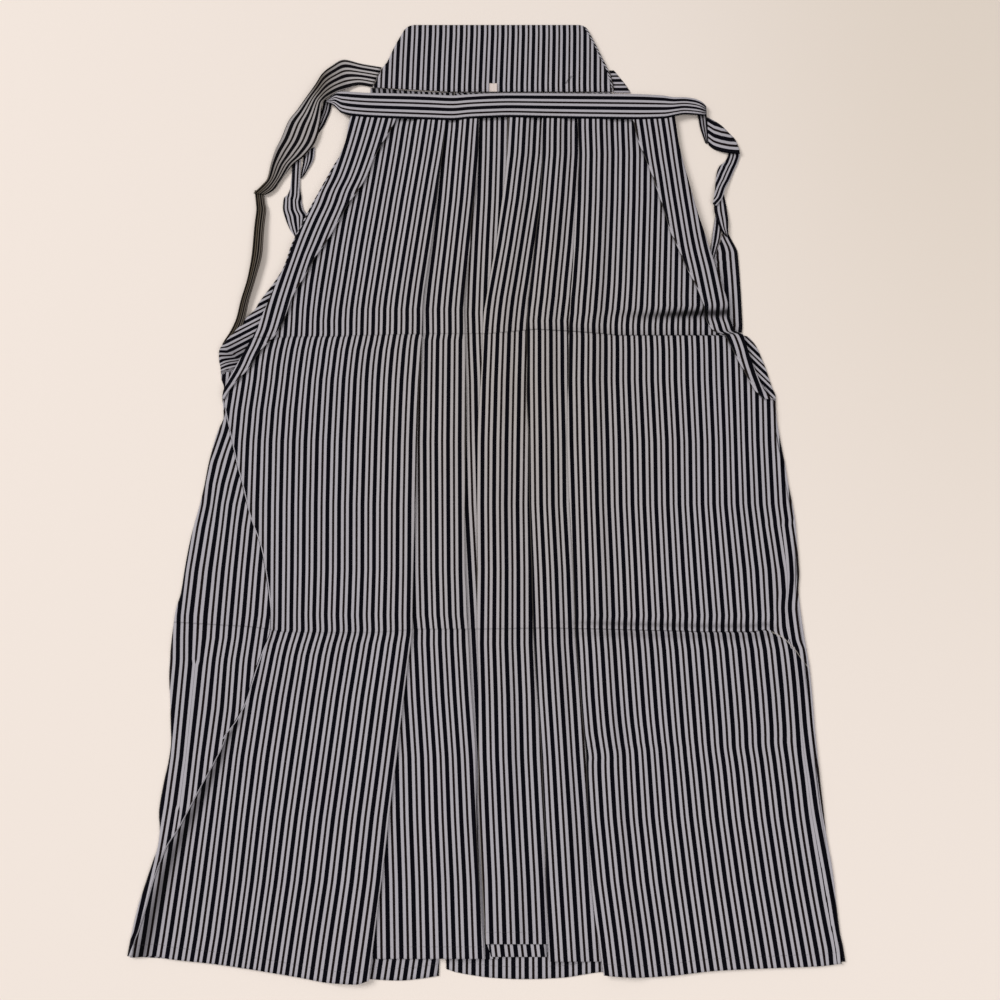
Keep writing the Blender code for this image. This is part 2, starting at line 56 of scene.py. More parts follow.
EDGE_LINE = 0.8  # width of the plain line of cloth along the left front's edge and its flap
EDGE_LINE_TOP, FLAP_LINE_TOP = 32.0, -262.0  # where the line starts on the edge and on the flap
PALE_COUNT = 0.27  # a place in the repeat that is pale
CENTRING = (0.25, 2.8)  # brings the tables' places to the middle of the frame
EYE = (11.2, -276.0, 859.0)  # the point above the floor from which the tables give each place
KEPT = 1000.0  # added to a distance that is kept on a mesh, so that 0 means that there is none

SIDE_PLEAT = 22.0  # depth of the two outer pleats
PLEAT_SHARE = 0.4  # depth of an inner pleat as a share of the strip that bears it
CENTRE_TUCK = 10.0  # how far the middle strip runs in under fold C
RAMP, CLEAR = 13.0, 1.5  # width over which a strip climbs onto its pleat, and the rest of it up to the hidden fold
DROP_START, DROP_END = 36.0, -10.0  # between these the fronts sink by one layer
FOLD_REACH = LAYER / 2 + CLOTH / 2  # from the outside of a folded edge to the middle of its bend
HEM_TOP, HEM_FOOT = -418, -457  # between these each column of cloth is brought to its own hem
SLIT_FOOT = 41.5  # where the folds along the side openings end


def table_of(kind, *rows):
    """A table whose bare rows get the names of their columns."""
    return tuple(kind(*row) for row in rows)


FrontRow = namedtuple("FrontRow", "y left fold_a fold_b fold_c fold_d fold_e right")
FRONT = table_of(
    FrontRow,
    (352, -136, -43, -10, 19, 54, 89, 186), (340, -139, -43.5, -10, 19, 53.5, 89, 187),
    (320, -141, -44.4, -10, 18.6, 53.3, 89.3, 188.5), (300, -148, -46.1, -10.2, 17.9, 53, 89.7, 190.5),
    (280, -157, -48, -11.1, 17.1, 52.2, 88.7, 195), (260, -166, -49.9, -12.8, 14.7, 50.9, 87.2, 199),
    (240, -175, -51.5, -15.2, 12.3, 49.6, 85.3, 203), (220, -183, -53.4, -17.1, 10, 46.8, 84.1, 208),
    (200, -191, -55.6, -17.7, 7.3, 44.7, 82.9, 213), (180, -196, -58, -19.5, 3.9, 42.6, 81.7, 218),
    (160, -203, -60.4, -21.5, 0.8, 40.2, 80, 223), (150, -206, -61.5, -22.3, -0.8, 39, 79, 225.5),
    (140, -210, -62.2, -22.8, -2.3, 37.8, 78.3, 227.5), (128, -213.5, -62.6, -22.9, -4.1, 37.2, 77.4, 228),
    (118, -217, -62.6, -22.4, -4.6, 36.6, 76.8, 230.5), (109.6, -219.3, -62.7, -22, -4.9, 36.3, 76.4, 233.2),
    (108.3, -219.9, -62.7, -22, -4.9, 36.3, 76.4, 234.6), (106.8, -220.6, -62.7, -21.9, -5, 36.2, 76.2, 240.4),
    (104, -222, -62.7, -21.8, -5, 36.2, 76, 241.2), (92, -228, -63, -21.5, -5.3, 36.3, 75.9, 244),
    (83, -231.8, -63.2, -21.3, -5.6, 36.5, 75.7, 246), (65.5, -240.6, -63.8, -21, -6.3, 36.2, 75.2, 251.2),
    (56, -244, -64.1, -20.8, -6.7, 36, 74.9, 254.3), (48.3, -245.8, -64.3, -20.6, -7.2, 35.9, 74.5, 257.7),
    (44, -246, -64.5, -20.4, -7.4, 35.9, 74.3, 261.5), (40, -245.5, -64.5, -20.4, -7.6, 36, 74.2, 264.5),
    (20, -240.5, -64.6, -20.3, -9, 36.8, 73.6, 264.5), (0, -235, -64.8, -20.3, -9.2, 37.6, 72.9, 266),
    (-20, -229.5, -64.9, -20.4, -9.3, 37.5, 73.2, 268.5), (-40, -223, -64.9, -20.5, -9.3, 37.4, 73.5, 270.5),
    (-70, -214, -65.5, -20.7, -9.4, 38, 74.5, 273.5), (-100, -202, -65.8, -20.3, -9.3, 38.7, 75.5, 274.5),
    (-120, -197, -65.8, -19.9, -9.2, 39.3, 76.1, 273.5), (-140, -193, -65.8, -18.7, -9.1, 39.4, 76.6, 272.3),
    (-160, -190, -65.7, -17.7, -8.8, 39.9, 76.7, 273.3), (-173, -189.5, -65.6, -16.9, -8.5, 40.2, 76.7, 274),
    (-190, -195, -67.3, -15.8, -8, 41, 77.7, 275.2), (-210, -201, -69.5, -14.7, -7.4, 42, 79.1, 275),
    (-235, -207.5, -72, -12.8, -7.2, 43.6, 80.7, 276.5), (-250, -214.5, -73.5, -11.5, -7, 44.6, 81.6, 277),
    (-265, -225, -75, -10, -7, 45.5, 83, 277.5), (-280, -231, -76.3, -9.4, -7.1, 46.2, 84.1, 277.5),
    (-310, -246, -79.7, -9, -7.2, 47.1, 84.1, 278.5), (-340, -260, -82.5, -8, -5.8, 48.6, 84.7, 280.5),
    (-370, -272, -85.3, -6.2, -4.2, 48.5, 85.8, 282), (-400, -280, -88.6, -4.4, -2.4, 49.5, 87.9, 284),
    (-430, -286.5, -91.6, -2, 0, 50.5, 92, 286), (-457, -291, -94.4, 0, 2, 51.2, 95.5, 288),
)

# Where numbered stripes run, counted from the fold that bounds the panel or strip
PanelStripes = namedtuple("PanelStripes", "y n1 n5 n9 n13 n17")
PANEL_COLUMNS, PANEL_NUMBERS = ("n1", "n5", "n9", "n13", "n17"), (1, 5, 9, 13, 17)
LEFT_STRIPES = table_of(
    PanelStripes,
    (352, -41, -82, -124, -167, -210), (330, -42.5, -85.5, -128, -171, -214),
    (300, -46.1, -88.8, -131.5, -174, -217), (275, -49.6, -92, -134.4, -177, -220),
    (250, -52.8, -95.5, -137.2, -180, -223), (225, -56, -98.5, -141, -183.6, -226),
    (200, -59.1, -101.8, -144, -187, -230), (160, -64, -106.5, -148.2, -191, -233),
    (145, -65.5, -108.2, -149.8, -191.5, -233.5), (132, -66.5, -109.2, -151, -191.7, -233.8),
    (120, -66.2, -109, -151.4, -191.5, -233.5), (108, -66.2, -109, -150.8, -191.8, -233),
    (104.5, -67, -109.4, -151, -192, -233.2), (100, -67.8, -110, -152.5, -193.2, -234),
    (90, -68.5, -111.8, -154, -195, -237), (75, -69.1, -113, -155, -196.5, -237.6),
    (60, -69.8, -113.5, -156.2, -197.2, -238), (30, -70.5, -113.5, -156.6, -199.2, -240.6),
    (0, -70.8, -113.5, -156.8, -199.5, -241.5), (-60, -70.5, -113, -155.2, -197.2, -241),
    (-120, -69.5, -111, -152.8, -194.2, -238), (-160, -69.2, -111, -152, -192, -235),
    (-172, -68.8, -110, -151, -191.8, -234.5), (-177, -68.9, -110.2, -151.5, -193.2, -236),
    (-185, -70, -112.2, -153.8, -195.4, -238), (-195, -71, -113.5, -156, -197, -239.5),
    (-230, -74.8, -118, -159.8, -202.2, -244), (-280, -80, -123, -164.8, -207, -246.5),
    (-330, -85.2, -128.2, -169.5, -209.8, -249.5), (-380, -89.2, -132.2, -173.2, -212.2, -253.2),
    (-420, -93.6, -137, -177.2, -215, -256.2), (-457, -98, -141, -181, -219, -259.5),
)
StripRow = namedtuple("StripRow", "y n0 n3")
STRIPES_AB = table_of(
    StripRow,
    (352, -9.5, -41.4), (330, -10.9, -42.2), (300, -12.5, -44.6), (250, -15.8, -47.8), (200, -20.5, -52),
    (160, -23.8, -56), (145, -25, -57.2), (132, -25.8, -58), (106, -25.4, -57.2), (100, -26.2, -58.2),
    (0, -25.8, -58), (-60, -25, -56.5), (-120, -24, -55), (-160, -22.5, -53.2), (-173, -21, -51.6),
    (-185, -20.5, -51.5), (-230, -17.5, -48.5), (-280, -13.5, -44.2), (-330, -10.8, -41.8), (-380, -7.5, -38.8),
    (-420, -5.8, -37), (-457, -4, -35.4),
)
STRIPES_BC = table_of(
    StripRow,
    (352, 14, -18.4), (300, 13.2, -19), (250, 11.8, -20.2), (200, 9.6, -22.4), (160, 8.2, -24), (128, 7.3, -24.8),
    (95, 8.4, -23.7), (60, 9.9, -22.2), (0, 11.2, -20.9), (-60, 13.1, -19), (-120, 16.6, -15.5),
    (-185, 20.6, -11.5), (-230, 23, -9), (-330, 29, -3.2), (-457, 34, 2),
)
STRIPES_CD = table_of(
    StripRow,
    (352, 26, 58.2), (330, 24.8, 57), (300, 23.2, 55.5), (250, 17.8, 50), (200, 10.8, 42.5), (160, 4.2, 36.8),
    (145, 1.8, 34.5), (132, 0.2, 33), (120, -0.8, 31.8), (108, -1.7, 30.7), (60, -3.5, 29.2), (0, -4.8, 28),
    (-60, -4.8, 27), (-120, -4, 27.5), (-185, -4.5, 27.2), (-230, -3, 28.8), (-280, -1.8, 29.8), (-330, 0.5, 32),
    (-380, 3, 34.5), (-420, 4.2, 36), (-457, 5.5, 37.2),
)
STRIPES_DE = table_of(
    StripRow,
    (352, 56.8, 88.6), (330, 56, 87.6), (300, 55.2, 87), (250, 50.8, 83.2), (200, 46, 78.5), (160, 41.8, 74.2),
    (145, 40.2, 72.8), (132, 38.6, 71.2), (120, 37.6, 69.8), (109, 37.9, 70), (60, 37.4, 69.5), (0, 37.6, 69.8),
    (-60, 37.8, 69.5), (-120, 39.8, 71.7), (-185, 41.4, 72.8), (-230, 43.2, 75), (-280, 46.1, 77.2),
    (-330, 48, 80), (-380, 50.5, 82.2), (-420, 52.8, 84), (-457, 54.6, 86),
)
RIGHT_STRIPES = table_of(
    PanelStripes,
    (352, 91.5, 134.5, 177, 220, 263), (330, 91, 134.2, 177, 220, 263), (300, 91.2, 134.2, 177.5, 220, 263),
    (250, 89.2, 132, 175, 218, 261), (200, 86.2, 129, 171.8, 214.5, 257.5), (160, 82.8, 126.5, 169.2, 212.5, 255),
    (145, 81.2, 125.2, 168.2, 211.4, 254), (136, 80.5, 124.2, 167.8, 211, 253.5),
    (132, 80.2, 123.8, 167.2, 210, 252.5), (128, 80, 123, 166.3, 208.7, 251.5),
    (124, 79.5, 122.2, 164.8, 206.9, 250), (116, 78.6, 121.3, 163.8, 206.8, 249.6),
    (108, 78.5, 121.1, 163.4, 206.2, 249), (105.5, 78.5, 121.4, 163.8, 206.8, 250),
    (103.5, 78.5, 122, 164.8, 209, 252), (90, 78, 121.8, 165, 208.8, 251.5), (60, 77, 120.8, 164, 207.8, 250.7),
    (0, 76.8, 121, 164.5, 207, 248), (-60, 77.5, 120.2, 162.8, 204.5, 246.8),
    (-120, 78.2, 121.2, 163.2, 206, 250.5), (-160, 78.5, 121.5, 164, 207, 249.8),
    (-171, 78, 120.4, 163, 205.8, 248.8), (-180, 78.5, 121, 164, 207.2, 251.5),
    (-190, 79, 121.5, 164.8, 208.2, 252.8), (-230, 80.3, 123, 166, 209.4, 254),
    (-245.4, 81.2, 123.7, 166.5, 209.7, 254), (-253.8, 81.7, 124.3, 166.8, 209.9, 254),
    (-262.1, 82.3, 125.2, 167.1, 209.9, 253.7), (-267.9, 83.3, 125.6, 167.4, 209.8, 253.2),
    (-272, 83.7, 126.2, 167.8, 209.8, 253.4), (-276.1, 84.4, 126.7, 167.9, 210.1, 253.7),
    (-280.2, 84.8, 126.8, 168.1, 210.6, 254.1), (-286.7, 84.3, 127, 168.5, 211.2, 254.5),
    (-295, 84.3, 127.2, 169, 211.8, 254.9), (-303, 84.6, 127.4, 169.4, 212.1, 255.5),
    (-330, 85.8, 128.2, 170.8, 213.5, 256.8), (-380, 89.6, 132.2, 175, 218, 261.2),
    (-420, 94.2, 136.8, 179, 222.5, 265.8), (-457, 98, 140.5, 183, 226.5, 270),
)

# Beside the right edge a long tuck hides part of a repeat: where the stripes on both sides of it run
TuckRow = namedtuple("TuckRow", "y n18 n19")
TUCK = table_of(
    TuckRow,
    (-74.0, 258.1, 268.3), (-92.4, 259.5, 269.4), (-110.6, 260.8, 270.2), (-124.1, 261.9, 270.0),
    (-137.5, 261.9, 268.4), (-155.2, 259.8, 266.0), (-168.4, 259.7, 266.5), (-181.5, 261.7, 267.6),
    (-190.2, 263.7, 269.9), (-203.1, 264.6, 270.8), (-224.4, 265.1, 271.5), (-249.6, 265.2, 271.6),
    (-274.5, 265.1, 272.5), (-298.9, 266.3, 274.3), (-323.1, 267.2, 275.8), (-346.9, 269.0, 278.4),
    (-370.3, 271.2, 281.1), (-393.4, 273.4, 283.6), (-416.2, 276.2, 285.7), (-431.2, 278.2, 287.8),
)

Point = namedtuple("Point", "x y")
FRONT_LEFT_HEM = table_of(
    Point,
    (-288, -437), (-272, -436), (-260, -438), (-220, -442), (-190, -446), (-150, -452), (-125, -456),
    (-104, -457), (-95, -454.5),
)
FRONT_RIGHT_HEM = table_of(
    Point,
    (90, -450), (120, -452), (150, -450.5), (185, -447), (230, -445), (270, -443.5), (288, -441.5),
)
STRIP_AB_HEM, STRIP_CD_HEM, STRIP_DE_HEM = -438.0, -427.0, -440.0
UNDER_A_HEM, UNDER_C_HEM, UNDER_D_HEM, UNDER_E_HEM = -450.0, -436.5, -436.5, -446.0

BackRow = namedtuple("BackRow", "y left left_flap right right_flap")
BACK = table_of(
    BackRow,
    (370, -120, -98, 124, 104), (340, -128, -106, 138, 118), (300, -143, -121, 152, 131),
    (250, -165, -143, 172, 151), (200, -186, -163, 192, 171), (159, -206, -182, 208, 188),
    (148, -213, -187, 213, 192), (140, -218, -191, 217, 196), (131, -222.5, -197, 222, 203),
    (124, -229, -202, 225, 206), (115, -235, -209, 228.5, 210), (109, -240, -214, 232, 214),
    (106, -242, -217, 236.5, 218), (104, -244, -219, 245, 225), (101, -246.5, -221, 248, 228),
    (96, -250.3, -225, 251.5, 233), (89, -253.3, -229, 254.5, 236), (80, -252.6, -232, 257.5, 242),
    (72, -250.6, -236, 260, 248), (62, -249.3, -240, 262.5, 252), (52, -246, -241.5, 265, 259),
    (44, -247, -244.5, 267.5, 263), (36, -245.8, -243.2, 267, 264.6), (22, -244.2, -241.3, 267, 264.5),
    (15, -247, -239.5, 267.5, 265), (5, -250, -236.5, 268.3, 266), (-10, -253, -232.5, 270, 267.5),
    (-22, -255, -229.5, 271.5, 269), (-40, -257, -223.5, 273, 270.5), (-60, -260, -217.5, 275.5, 273),
    (-80, -264, -209.5, 277, 274.5), (-100, -267, -202.5, 277, 274.5), (-120, -269, -197.5, 277, 274.5),
    (-140, -270.5, -193.5, 274.8, 272.3), (-156, -274, -190.5, 275.4, 272.9), (-173, -275, -190, 276.5, 274),
    (-190, -275.5, -195.5, 278, 275.3), (-210, -275, -201.5, 279.6, 276.8), (-235, -272, -207.5, 280, 277.5),
    (-255, -270, -218, 280, 277.7), (-270, -268.5, -225, 280.3, 278), (-285, -269.5, -232, 280.7, 278),
    (-300, -271.8, -239.5, 281, 278.5), (-325, -274, -251.5, 282, 279.5), (-340, -272, -259, 282.5, 280),
    (-352, -272.5, -266.5, 283.5, 281), (-365, -276, -271, 285, 282.5), (-380, -280, -275.5, 286, 283.5),
    (-400, -285, -279.5, 286.5, 284), (-420, -288, -284.5, 287.5, 285), (-437, -289, -286.8, 289, 286.5),
    (-457, -290, -287.5, 290, 287.5),
)
BackStripes = namedtuple("BackStripes", "y n0 n1 n2 n3 n5")
BACK_LEFT_STRIPES = table_of(
    BackStripes,
    (45, -236, -223, -212, -201, -180), (10, -241.2, -229, -217, -206, -185),
    (-10, -246.2, -234.8, -222.5, -211, -190), (-20, -249, -236.5, -225, -214, -192),
    (-40, -251.5, -240.5, -229, -218, -196), (-60, -252.2, -242.5, -232.2, -221, -199),
    (-80, -255, -243.4, -233, -222.6, -201), (-120, -258.5, -246, -234.8, -223.8, -202.2),
    (-160, -260, -247, -235.5, -224.6, -202.8), (-180, -259, -246.8, -235.6, -224.9, -204.6),
    (-200, -257.6, -248, -237.2, -227, -206.2), (-240, -258.2, -249.5, -238.2, -227.2, -206.8),
    (-280, -258.8, -251, -240.8, -230, -209), (-320, -261.2, -252.8, -242.4, -232, -211),
    (-360, -264.8, -256, -245, -235, -214), (-457, -280, -269.5, -259, -248, -226),
)
BACK_LEFT_HEM = table_of(
    Point,
    (-289, -436), (-220, -440), (-150, -449), (-94, -453), (-70, -454), (-52, -452.5), (-38, -450.5),
)
BACK_RIGHT_HEM = table_of(
    Point,
    (-32, -445.5), (-28, -447), (-15, -449.5), (5, -452), (30, -453), (60, -452), (95, -447.5), (150, -446),
    (289, -440),
)
BACK_TOP = table_of(Point, (-121, 375.8), (-40, 370.4), (126, 370.4))
LEG_SPLIT = -35.0  # where the two halves of the back part
# The tie that ends under the left back: where, how far it raises the cloth, and how far round it
TAIL_END, TAIL_LIFT, TAIL_LIFT_REACH = (-245.0, 99.0), 2.7, 23.0

SlitRow = namedtuple("SlitRow", "y outer inner stripe across")
SLIT_LEFT = table_of(
    SlitRow,
    (352, -136, -90, -144.5, 22.2), (335, -140, -95, -148, 22.2), (315, -142.5, -104.5, -152, 22),
    (295, -149.5, -114, -156.6, 21.8), (275, -159, -120.5, -162, 21.6), (258, -167, -129, -168.6, 21.8),
    (245, -173, -137, -172.6, 22.3), (225, -181, -146.5, -180.2, 23), (205, -189.5, -156, -186.6, 22.8),
    (185, -195, -168, -191.8, 21.4), (165, -201, -177, -197.2, 22), (145, -208, -187, -202.2, 22.8),
    (133, -212, -190, -204.8, 23), (122, -215.5, -193, -206.9, 22.4), (112, -218.5, -198, -209, 22),
    (105, -221.5, -201.5, -211.2, 22), (95, -226.3, -210, -214.5, 22), (85, -231, -217, -218.6, 21.6),
    (75, -235.5, -222, -222, 21.6), (65, -240, -229.5, -226.4, 21.6), (56, -243.8, -237, -231, 21.6),
    (47, -246.4, -242.6, -236, 21.6), (41.5, -246.2, -245, -239, 21.6),
)
SLIT_RIGHT = table_of(
    SlitRow,
    (352, 186, 141, 184.6, -21.8), (335, 187.3, 145.3, 186.2, -22.2), (315, 189, 149, 188, -22.2),
    (295, 192, 155.5, 189.5, -22), (275, 196, 161.8, 191.2, -21.6), (255, 200, 167, 193, -21.6),
    (235, 204.2, 172, 195, -21.6), (215, 209.3, 176.8, 197, -21.6), (195, 214.2, 184, 199.5, -22.4),
    (175, 219.3, 191, 202.8, -23), (155, 224.3, 199.6, 205.6, -23), (145, 226.9, 202.8, 206.9, -22.8),
    (136, 228, 205, 208, -22), (130, 228, 205.6, 207.6, -21.4), (124, 229, 206.4, 207, -21.2),
    (116, 231, 209, 208.4, -21.6), (110, 232.8, 213.5, 209.6, -22), (108.5, 234.4, 216.5, 210.6, -22.4),
    (106.8, 240.4, 223.2, 213.7, -24), (103, 241.4, 225, 215.4, -24.4), (92, 244, 229.6, 218.3, -24.6),
    (83, 246, 233.3, 219.9, -24.6), (65.5, 251.2, 241.2, 223.9, -24.6), (56, 254.3, 245.6, 226.6, -24.6),
    (49.6, 257, 248.8, 228.4, -24.6), (44, 261.5, 253.6, 229.9, -24.6), (41.5, 264, 255.7, 230.6, -24.6),
)
BandRow = namedtuple("BandRow", "x top bottom under over")
WAISTBAND = table_of(
    BandRow,
    (-164, 360.6, 359.2, 2.8, 4.1), (-160, 365.0, 357.8, 2.7, 4.2), (-156.5, 369.4, 355.6, 2.6, 4.6),
    (-154.5, 371.2, 353.4, 2.7, 5.0), (-149, 371.6, 347.3, 2.9, 5.8), (-144, 371.6, 345.2, 3.0, 6.5),
    (-139, 371.2, 344.0, 3.1, 7.0), (-120, 370, 342, 3.1, 7.0), (-80, 369, 340, 3.1, 7.0),
    (-60, 368.2, 339.2, 3.1, 7.0), (-37, 367.0, 338.4, 3.1, 7.0), (-20, 368.2, 340.2, 3.1, 7.0),
    (0, 369.4, 341.2, 3.1, 7.0), (20, 369.8, 342, 3.1, 7.0), (60, 369.6, 341, 3.1, 7.0),
    (110, 369.2, 340, 3.1, 7.0), (150, 368.6, 339.5, 3.1, 7.0), (176, 367, 340.5, 3.1, 7.0),
    (188, 365, 343.5, 3.1, 6.9), (197, 365, 345.2, 2.9, 5.6), (207, 363.6, 344.6, 2.8, 4.7),
    (213, 361, 344, 2.8, 4.3), (217, 357.6, 343.6, 2.8, 4.1), (219, 354.5, 344.4, 2.8, 4.1),
)
TieRow = namedtuple("TieRow", "left_x left_y right_x right_y left_z right_z")
BACK_TIE_LEFT_1 = table_of(
    TieRow,
    (-109.5, 400, -118.4, 377.2, 0.9, 0.9), (-130, 404, -131, 379.5, 0.9, 0.9), (-148, 409, -142, 376, 1.5, 1.5),
    (-160, 402, -152, 372, 3.0, 5.1), (-170, 392, -160, 367, 3.5, 5.2), (-176, 380, -166, 362, 4.4, 5.2),
    (-184, 366, -169, 356, 3.6, 4.8), (-193, 350, -169, 342, 2.2, 3.0), (-201, 337, -170, 328, 1.6, 2.2),
    (-207, 318, -173, 314, 1.6, 2.2), (-213, 302, -182, 299, 1.6, 2.2), (-216, 288, -194, 288, 1.6, 2.2),
    (-218.5, 272, -204, 272, 1.6, 1.6), (-224, 264, -212, 259, 1.9, 1.9), (-231, 256, -219, 254.5, 2.2, 2.2),
)
BACK_TIE_LEFT_2 = table_of(
    TieRow,
    (-230, 259, -221, 258, 0.5, 0.5), (-228, 246, -219.3, 246, 1.2, 1.2), (-227, 237, -217.6, 237, 2.2, 2.2),
    (-227.9, 218, -218.5, 218, 3.2, 3.2), (-228.3, 193.5, -218.6, 193.5, 3.7, 3.7),
    (-230.8, 166, -223, 166, 3.7, 3.7), (-236, 141, -228.3, 141, 3.1, 3.1), (-238.8, 123, -231, 123, 2.1, 2.1),
    (-243.5, 109.5, -234.8, 108.5, 1.1, 1.1), (-248, 101, -240, 100, 0, 0), (-250.5, 96, -243.5, 94, 0, 0),
)
BACK_TIE_RIGHT = table_of(
    TieRow,
    (122.6, 396, 127, 396, 0, 0), (124.6, 388, 132.5, 388, 0, 0), (125.9, 380, 138, 380, 0, 0),
    (126.6, 370.3, 143.2, 370.3, 0, 0),
)
FRONT_TIE_LEFT_1 = table_of(
    TieRow,
    (-166, 362, -158.5, 361, 0, 0), (-168, 350, -159.5, 350, 0, 0), (-170.5, 340, -162.5, 340, 0, 0),
    (-173.5, 331, -165.5, 332, 0, 0), (-177, 322, -169.5, 325, 0, 0), (-180, 315, -173, 318, 0, 0),
)
FRONT_TIE_LEFT_2 = table_of(
    TieRow,
    (-183, 303, -173, 307.5, 0, 0), (-184, 290, -173.5, 296, 0, 0), (-185, 280, -177, 286, 0, 0),
    (-185.2, 272, -182.6, 276, 0, 0),
)
FRONT_TIE_LEFT_3 = table_of(
    TieRow,
    (-194.5, 298, -186.4, 298, 0, 0), (-194.5, 280, -186.3, 282, 0, 0), (-195, 264, -185.8, 264, 0, 0),
    (-197, 255, -184, 252, 0, 0), (-201, 249.5, -183, 245, 0, 0), (-201.3, 240, -181, 237.5, 0, 0),
    (-198.5, 229, -177, 231, 0, 0), (-193.5, 217, -178.5, 226, 0, 0), (-187.5, 208, -181, 219, 0, 0),
)
FRONT_TIE_RIGHT_1 = table_of(
    TieRow,
    (210.5, 354, 218.9, 354, 0, 0), (210.5, 346, 218.9, 346, 0, 0), (211.5, 332, 218.9, 334, 0, 0),
    (214, 321, 218.7, 322, 0, 0), (216.6, 312, 218.5, 312, 0, 0),
)
FRONT_TIE_RIGHT_2 = table_of(
    TieRow,
    (219.5, 341.5, 219.2, 310, 0, 0), (226, 337.5, 224, 305.5, 0, 0.4), (233, 332, 232, 302.5, 0, 1.8),
    (240, 323.5, 240, 300.8, 0, 2.4), (246, 315.5, 246, 300.2, 0.8, 2.4), (249.3, 304, 249.8, 300, 2.0, 2.0),
)
FRONT_TIE_RIGHT_3 = table_of(
    TieRow,
    (240.5, 304.5, 247.5, 303.5, 0, 0), (238.5, 299, 249.5, 298, 0, 0), (235.3, 292, 247, 290, 0, 0),
    (227.5, 284, 242.5, 280, 0, 0), (224.5, 273, 238, 270, 0.5, 0.5), (223, 262, 233.5, 262, 1.8, 1.8),
    (221.5, 252, 229.5, 251, 2.5, 2.5), (220, 244, 223, 242.5, 2.6, 2.6),
)
FRONT_TIE_RIGHT_4 = table_of(
    TieRow,
    (223.5, 257, 231, 255, 0, 0), (221.5, 247, 232.3, 245, 0, 0), (220.8, 238, 233.2, 236, 1.2, 0.8),
    (222.5, 228, 233.7, 226, 2.1, 1.6), (226, 217, 233, 216, 2.1, 2.0), (231, 209, 232.8, 208.5, 2.1, 2.1),
)
FRONT_TIE_RIGHT_5 = table_of(
    TieRow,
    (222, 233, 225, 231, 0, 0), (219.8, 222, 226.5, 219, 0, 0), (217.6, 210, 225, 207, 0, 0),
    (215.8, 198, 221.8, 197, 0, 0), (213.5, 187, 218.5, 187, 0, 0), (212, 181, 216.5, 181, 0, 0),
)
FRONT_TIE_RIGHT_6 = table_of(
    TieRow,
    (228, 214, 233, 211, 0, 0), (226, 206, 236.5, 203, 0, 0), (223.5, 199, 239.5, 196, 0, 0),
    (220.4, 191, 240.8, 191, 0, 0), (217.4, 181, 241, 181, 0, 0), (220, 165, 241.2, 165, 0, 0),
    (223.5, 150, 241.2, 150, 0, 0), (226, 130, 241, 130, 0, 0), (229.2, 115, 240.7, 115, 0, 0),
    (236, 108, 239.7, 108, 0, 0),
)

BOARD_FOOT, BOARD_TOP, BOARD_HEIGHT = 371.3, 451.2, 80.05
BOARD_MIDDLE, BOARD_SWELL = 1.75, 1.62  # height of its middle above the floor, and half its thickness
BOARD_OUTLINE = table_of(
    Point,
    (-117.6, 376.4), (-40, 371), (126, 371), (124.4, 384), (121.5, 396), (108, 430), (101, 446), (97.5, 450),
    (92, 451.4), (-78, 451), (-83, 449.8), (-87, 446), (-91.5, 437), (-97.5, 424), (-104, 406.5), (-108.6, 400),
)

# Flat width, length and area in metres of each sheet as far as it shows, how it lies and on what
Cut = namedtuple("Cut", "name width length area held under")
CUTS = table_of(
    Cut,
    ("back_left_leg", 0.325, 0.870, 0.191, "laid", ()),
    ("back_right_leg", 0.326, 0.853, 0.235, "laid", ("back_left_leg",)),
    ("front_left_leg", 0.430, 0.836, 0.243, "folded", ("back_left_leg", "back_right_leg")),
    ("front_right_leg", 0.440, 0.809, 0.275, "folded", ("back_right_leg", "front_left_leg")),
    ("slit_fold_left", 0.058, 0.348, 0.0119, "folded", ("front_left_leg",)),
    ("slit_fold_right", 0.057, 0.337, 0.0121, "folded", ("front_right_leg",)),
    ("front_waistband", 0.046, 0.390, 0.0162, "folded", ("front_left_leg", "front_right_leg")),
    ("back_tie_left_1", 0.034, 0.218, 0.0048, "laid", ("back_board",)),
    ("back_tie_left_2", 0.010, 0.168, 0.00149, "laid", ("back_left_leg",)),
    ("back_tie_right", 0.017, 0.030, 0.00026, "laid", ("back_right_leg",)),
    ("front_tie_left_1", 0.010, 0.055, 0.00042, "laid", ("front_waistband",)),
    ("front_tie_left_2", 0.012, 0.034, 0.00025, "laid", ("back_tie_left_1",)),
    ("front_tie_left_3", 0.022, 0.095, 0.00115, "laid", ("back_tie_left_1",)),
    ("front_tie_right_1", 0.010, 0.043, 0.00029, "laid", ("front_waistband",)),
    ("front_tie_right_2", 0.033, 0.051, 0.00083, "laid", ("front_tie_right_1",)),
    ("front_tie_right_3", 0.016, 0.070, 0.00077, "laid", ("front_tie_right_2",)),
    ("front_tie_right_4", 0.013, 0.052, 0.00048, "laid", ("front_tie_right_3",)),
    ("front_tie_right_5", 0.010, 0.051, 0.00033, "laid", ("front_tie_right_4",)),
    ("front_tie_right_6", 0.024, 0.112, 0.00176, "laid", ("front_tie_right_4",)),
    ("board_label", 0.010, 0.0106, 0.000077, "laid", ("back_board",)),
)


def parallel(table, last, pitch):
    """Stripes that run along the right edge of a stretch and off at its left one."""
    return tuple((last - hypot(r.right_x - r.left_x, r.right_y - r.left_y) / pitch, last) for r in table)


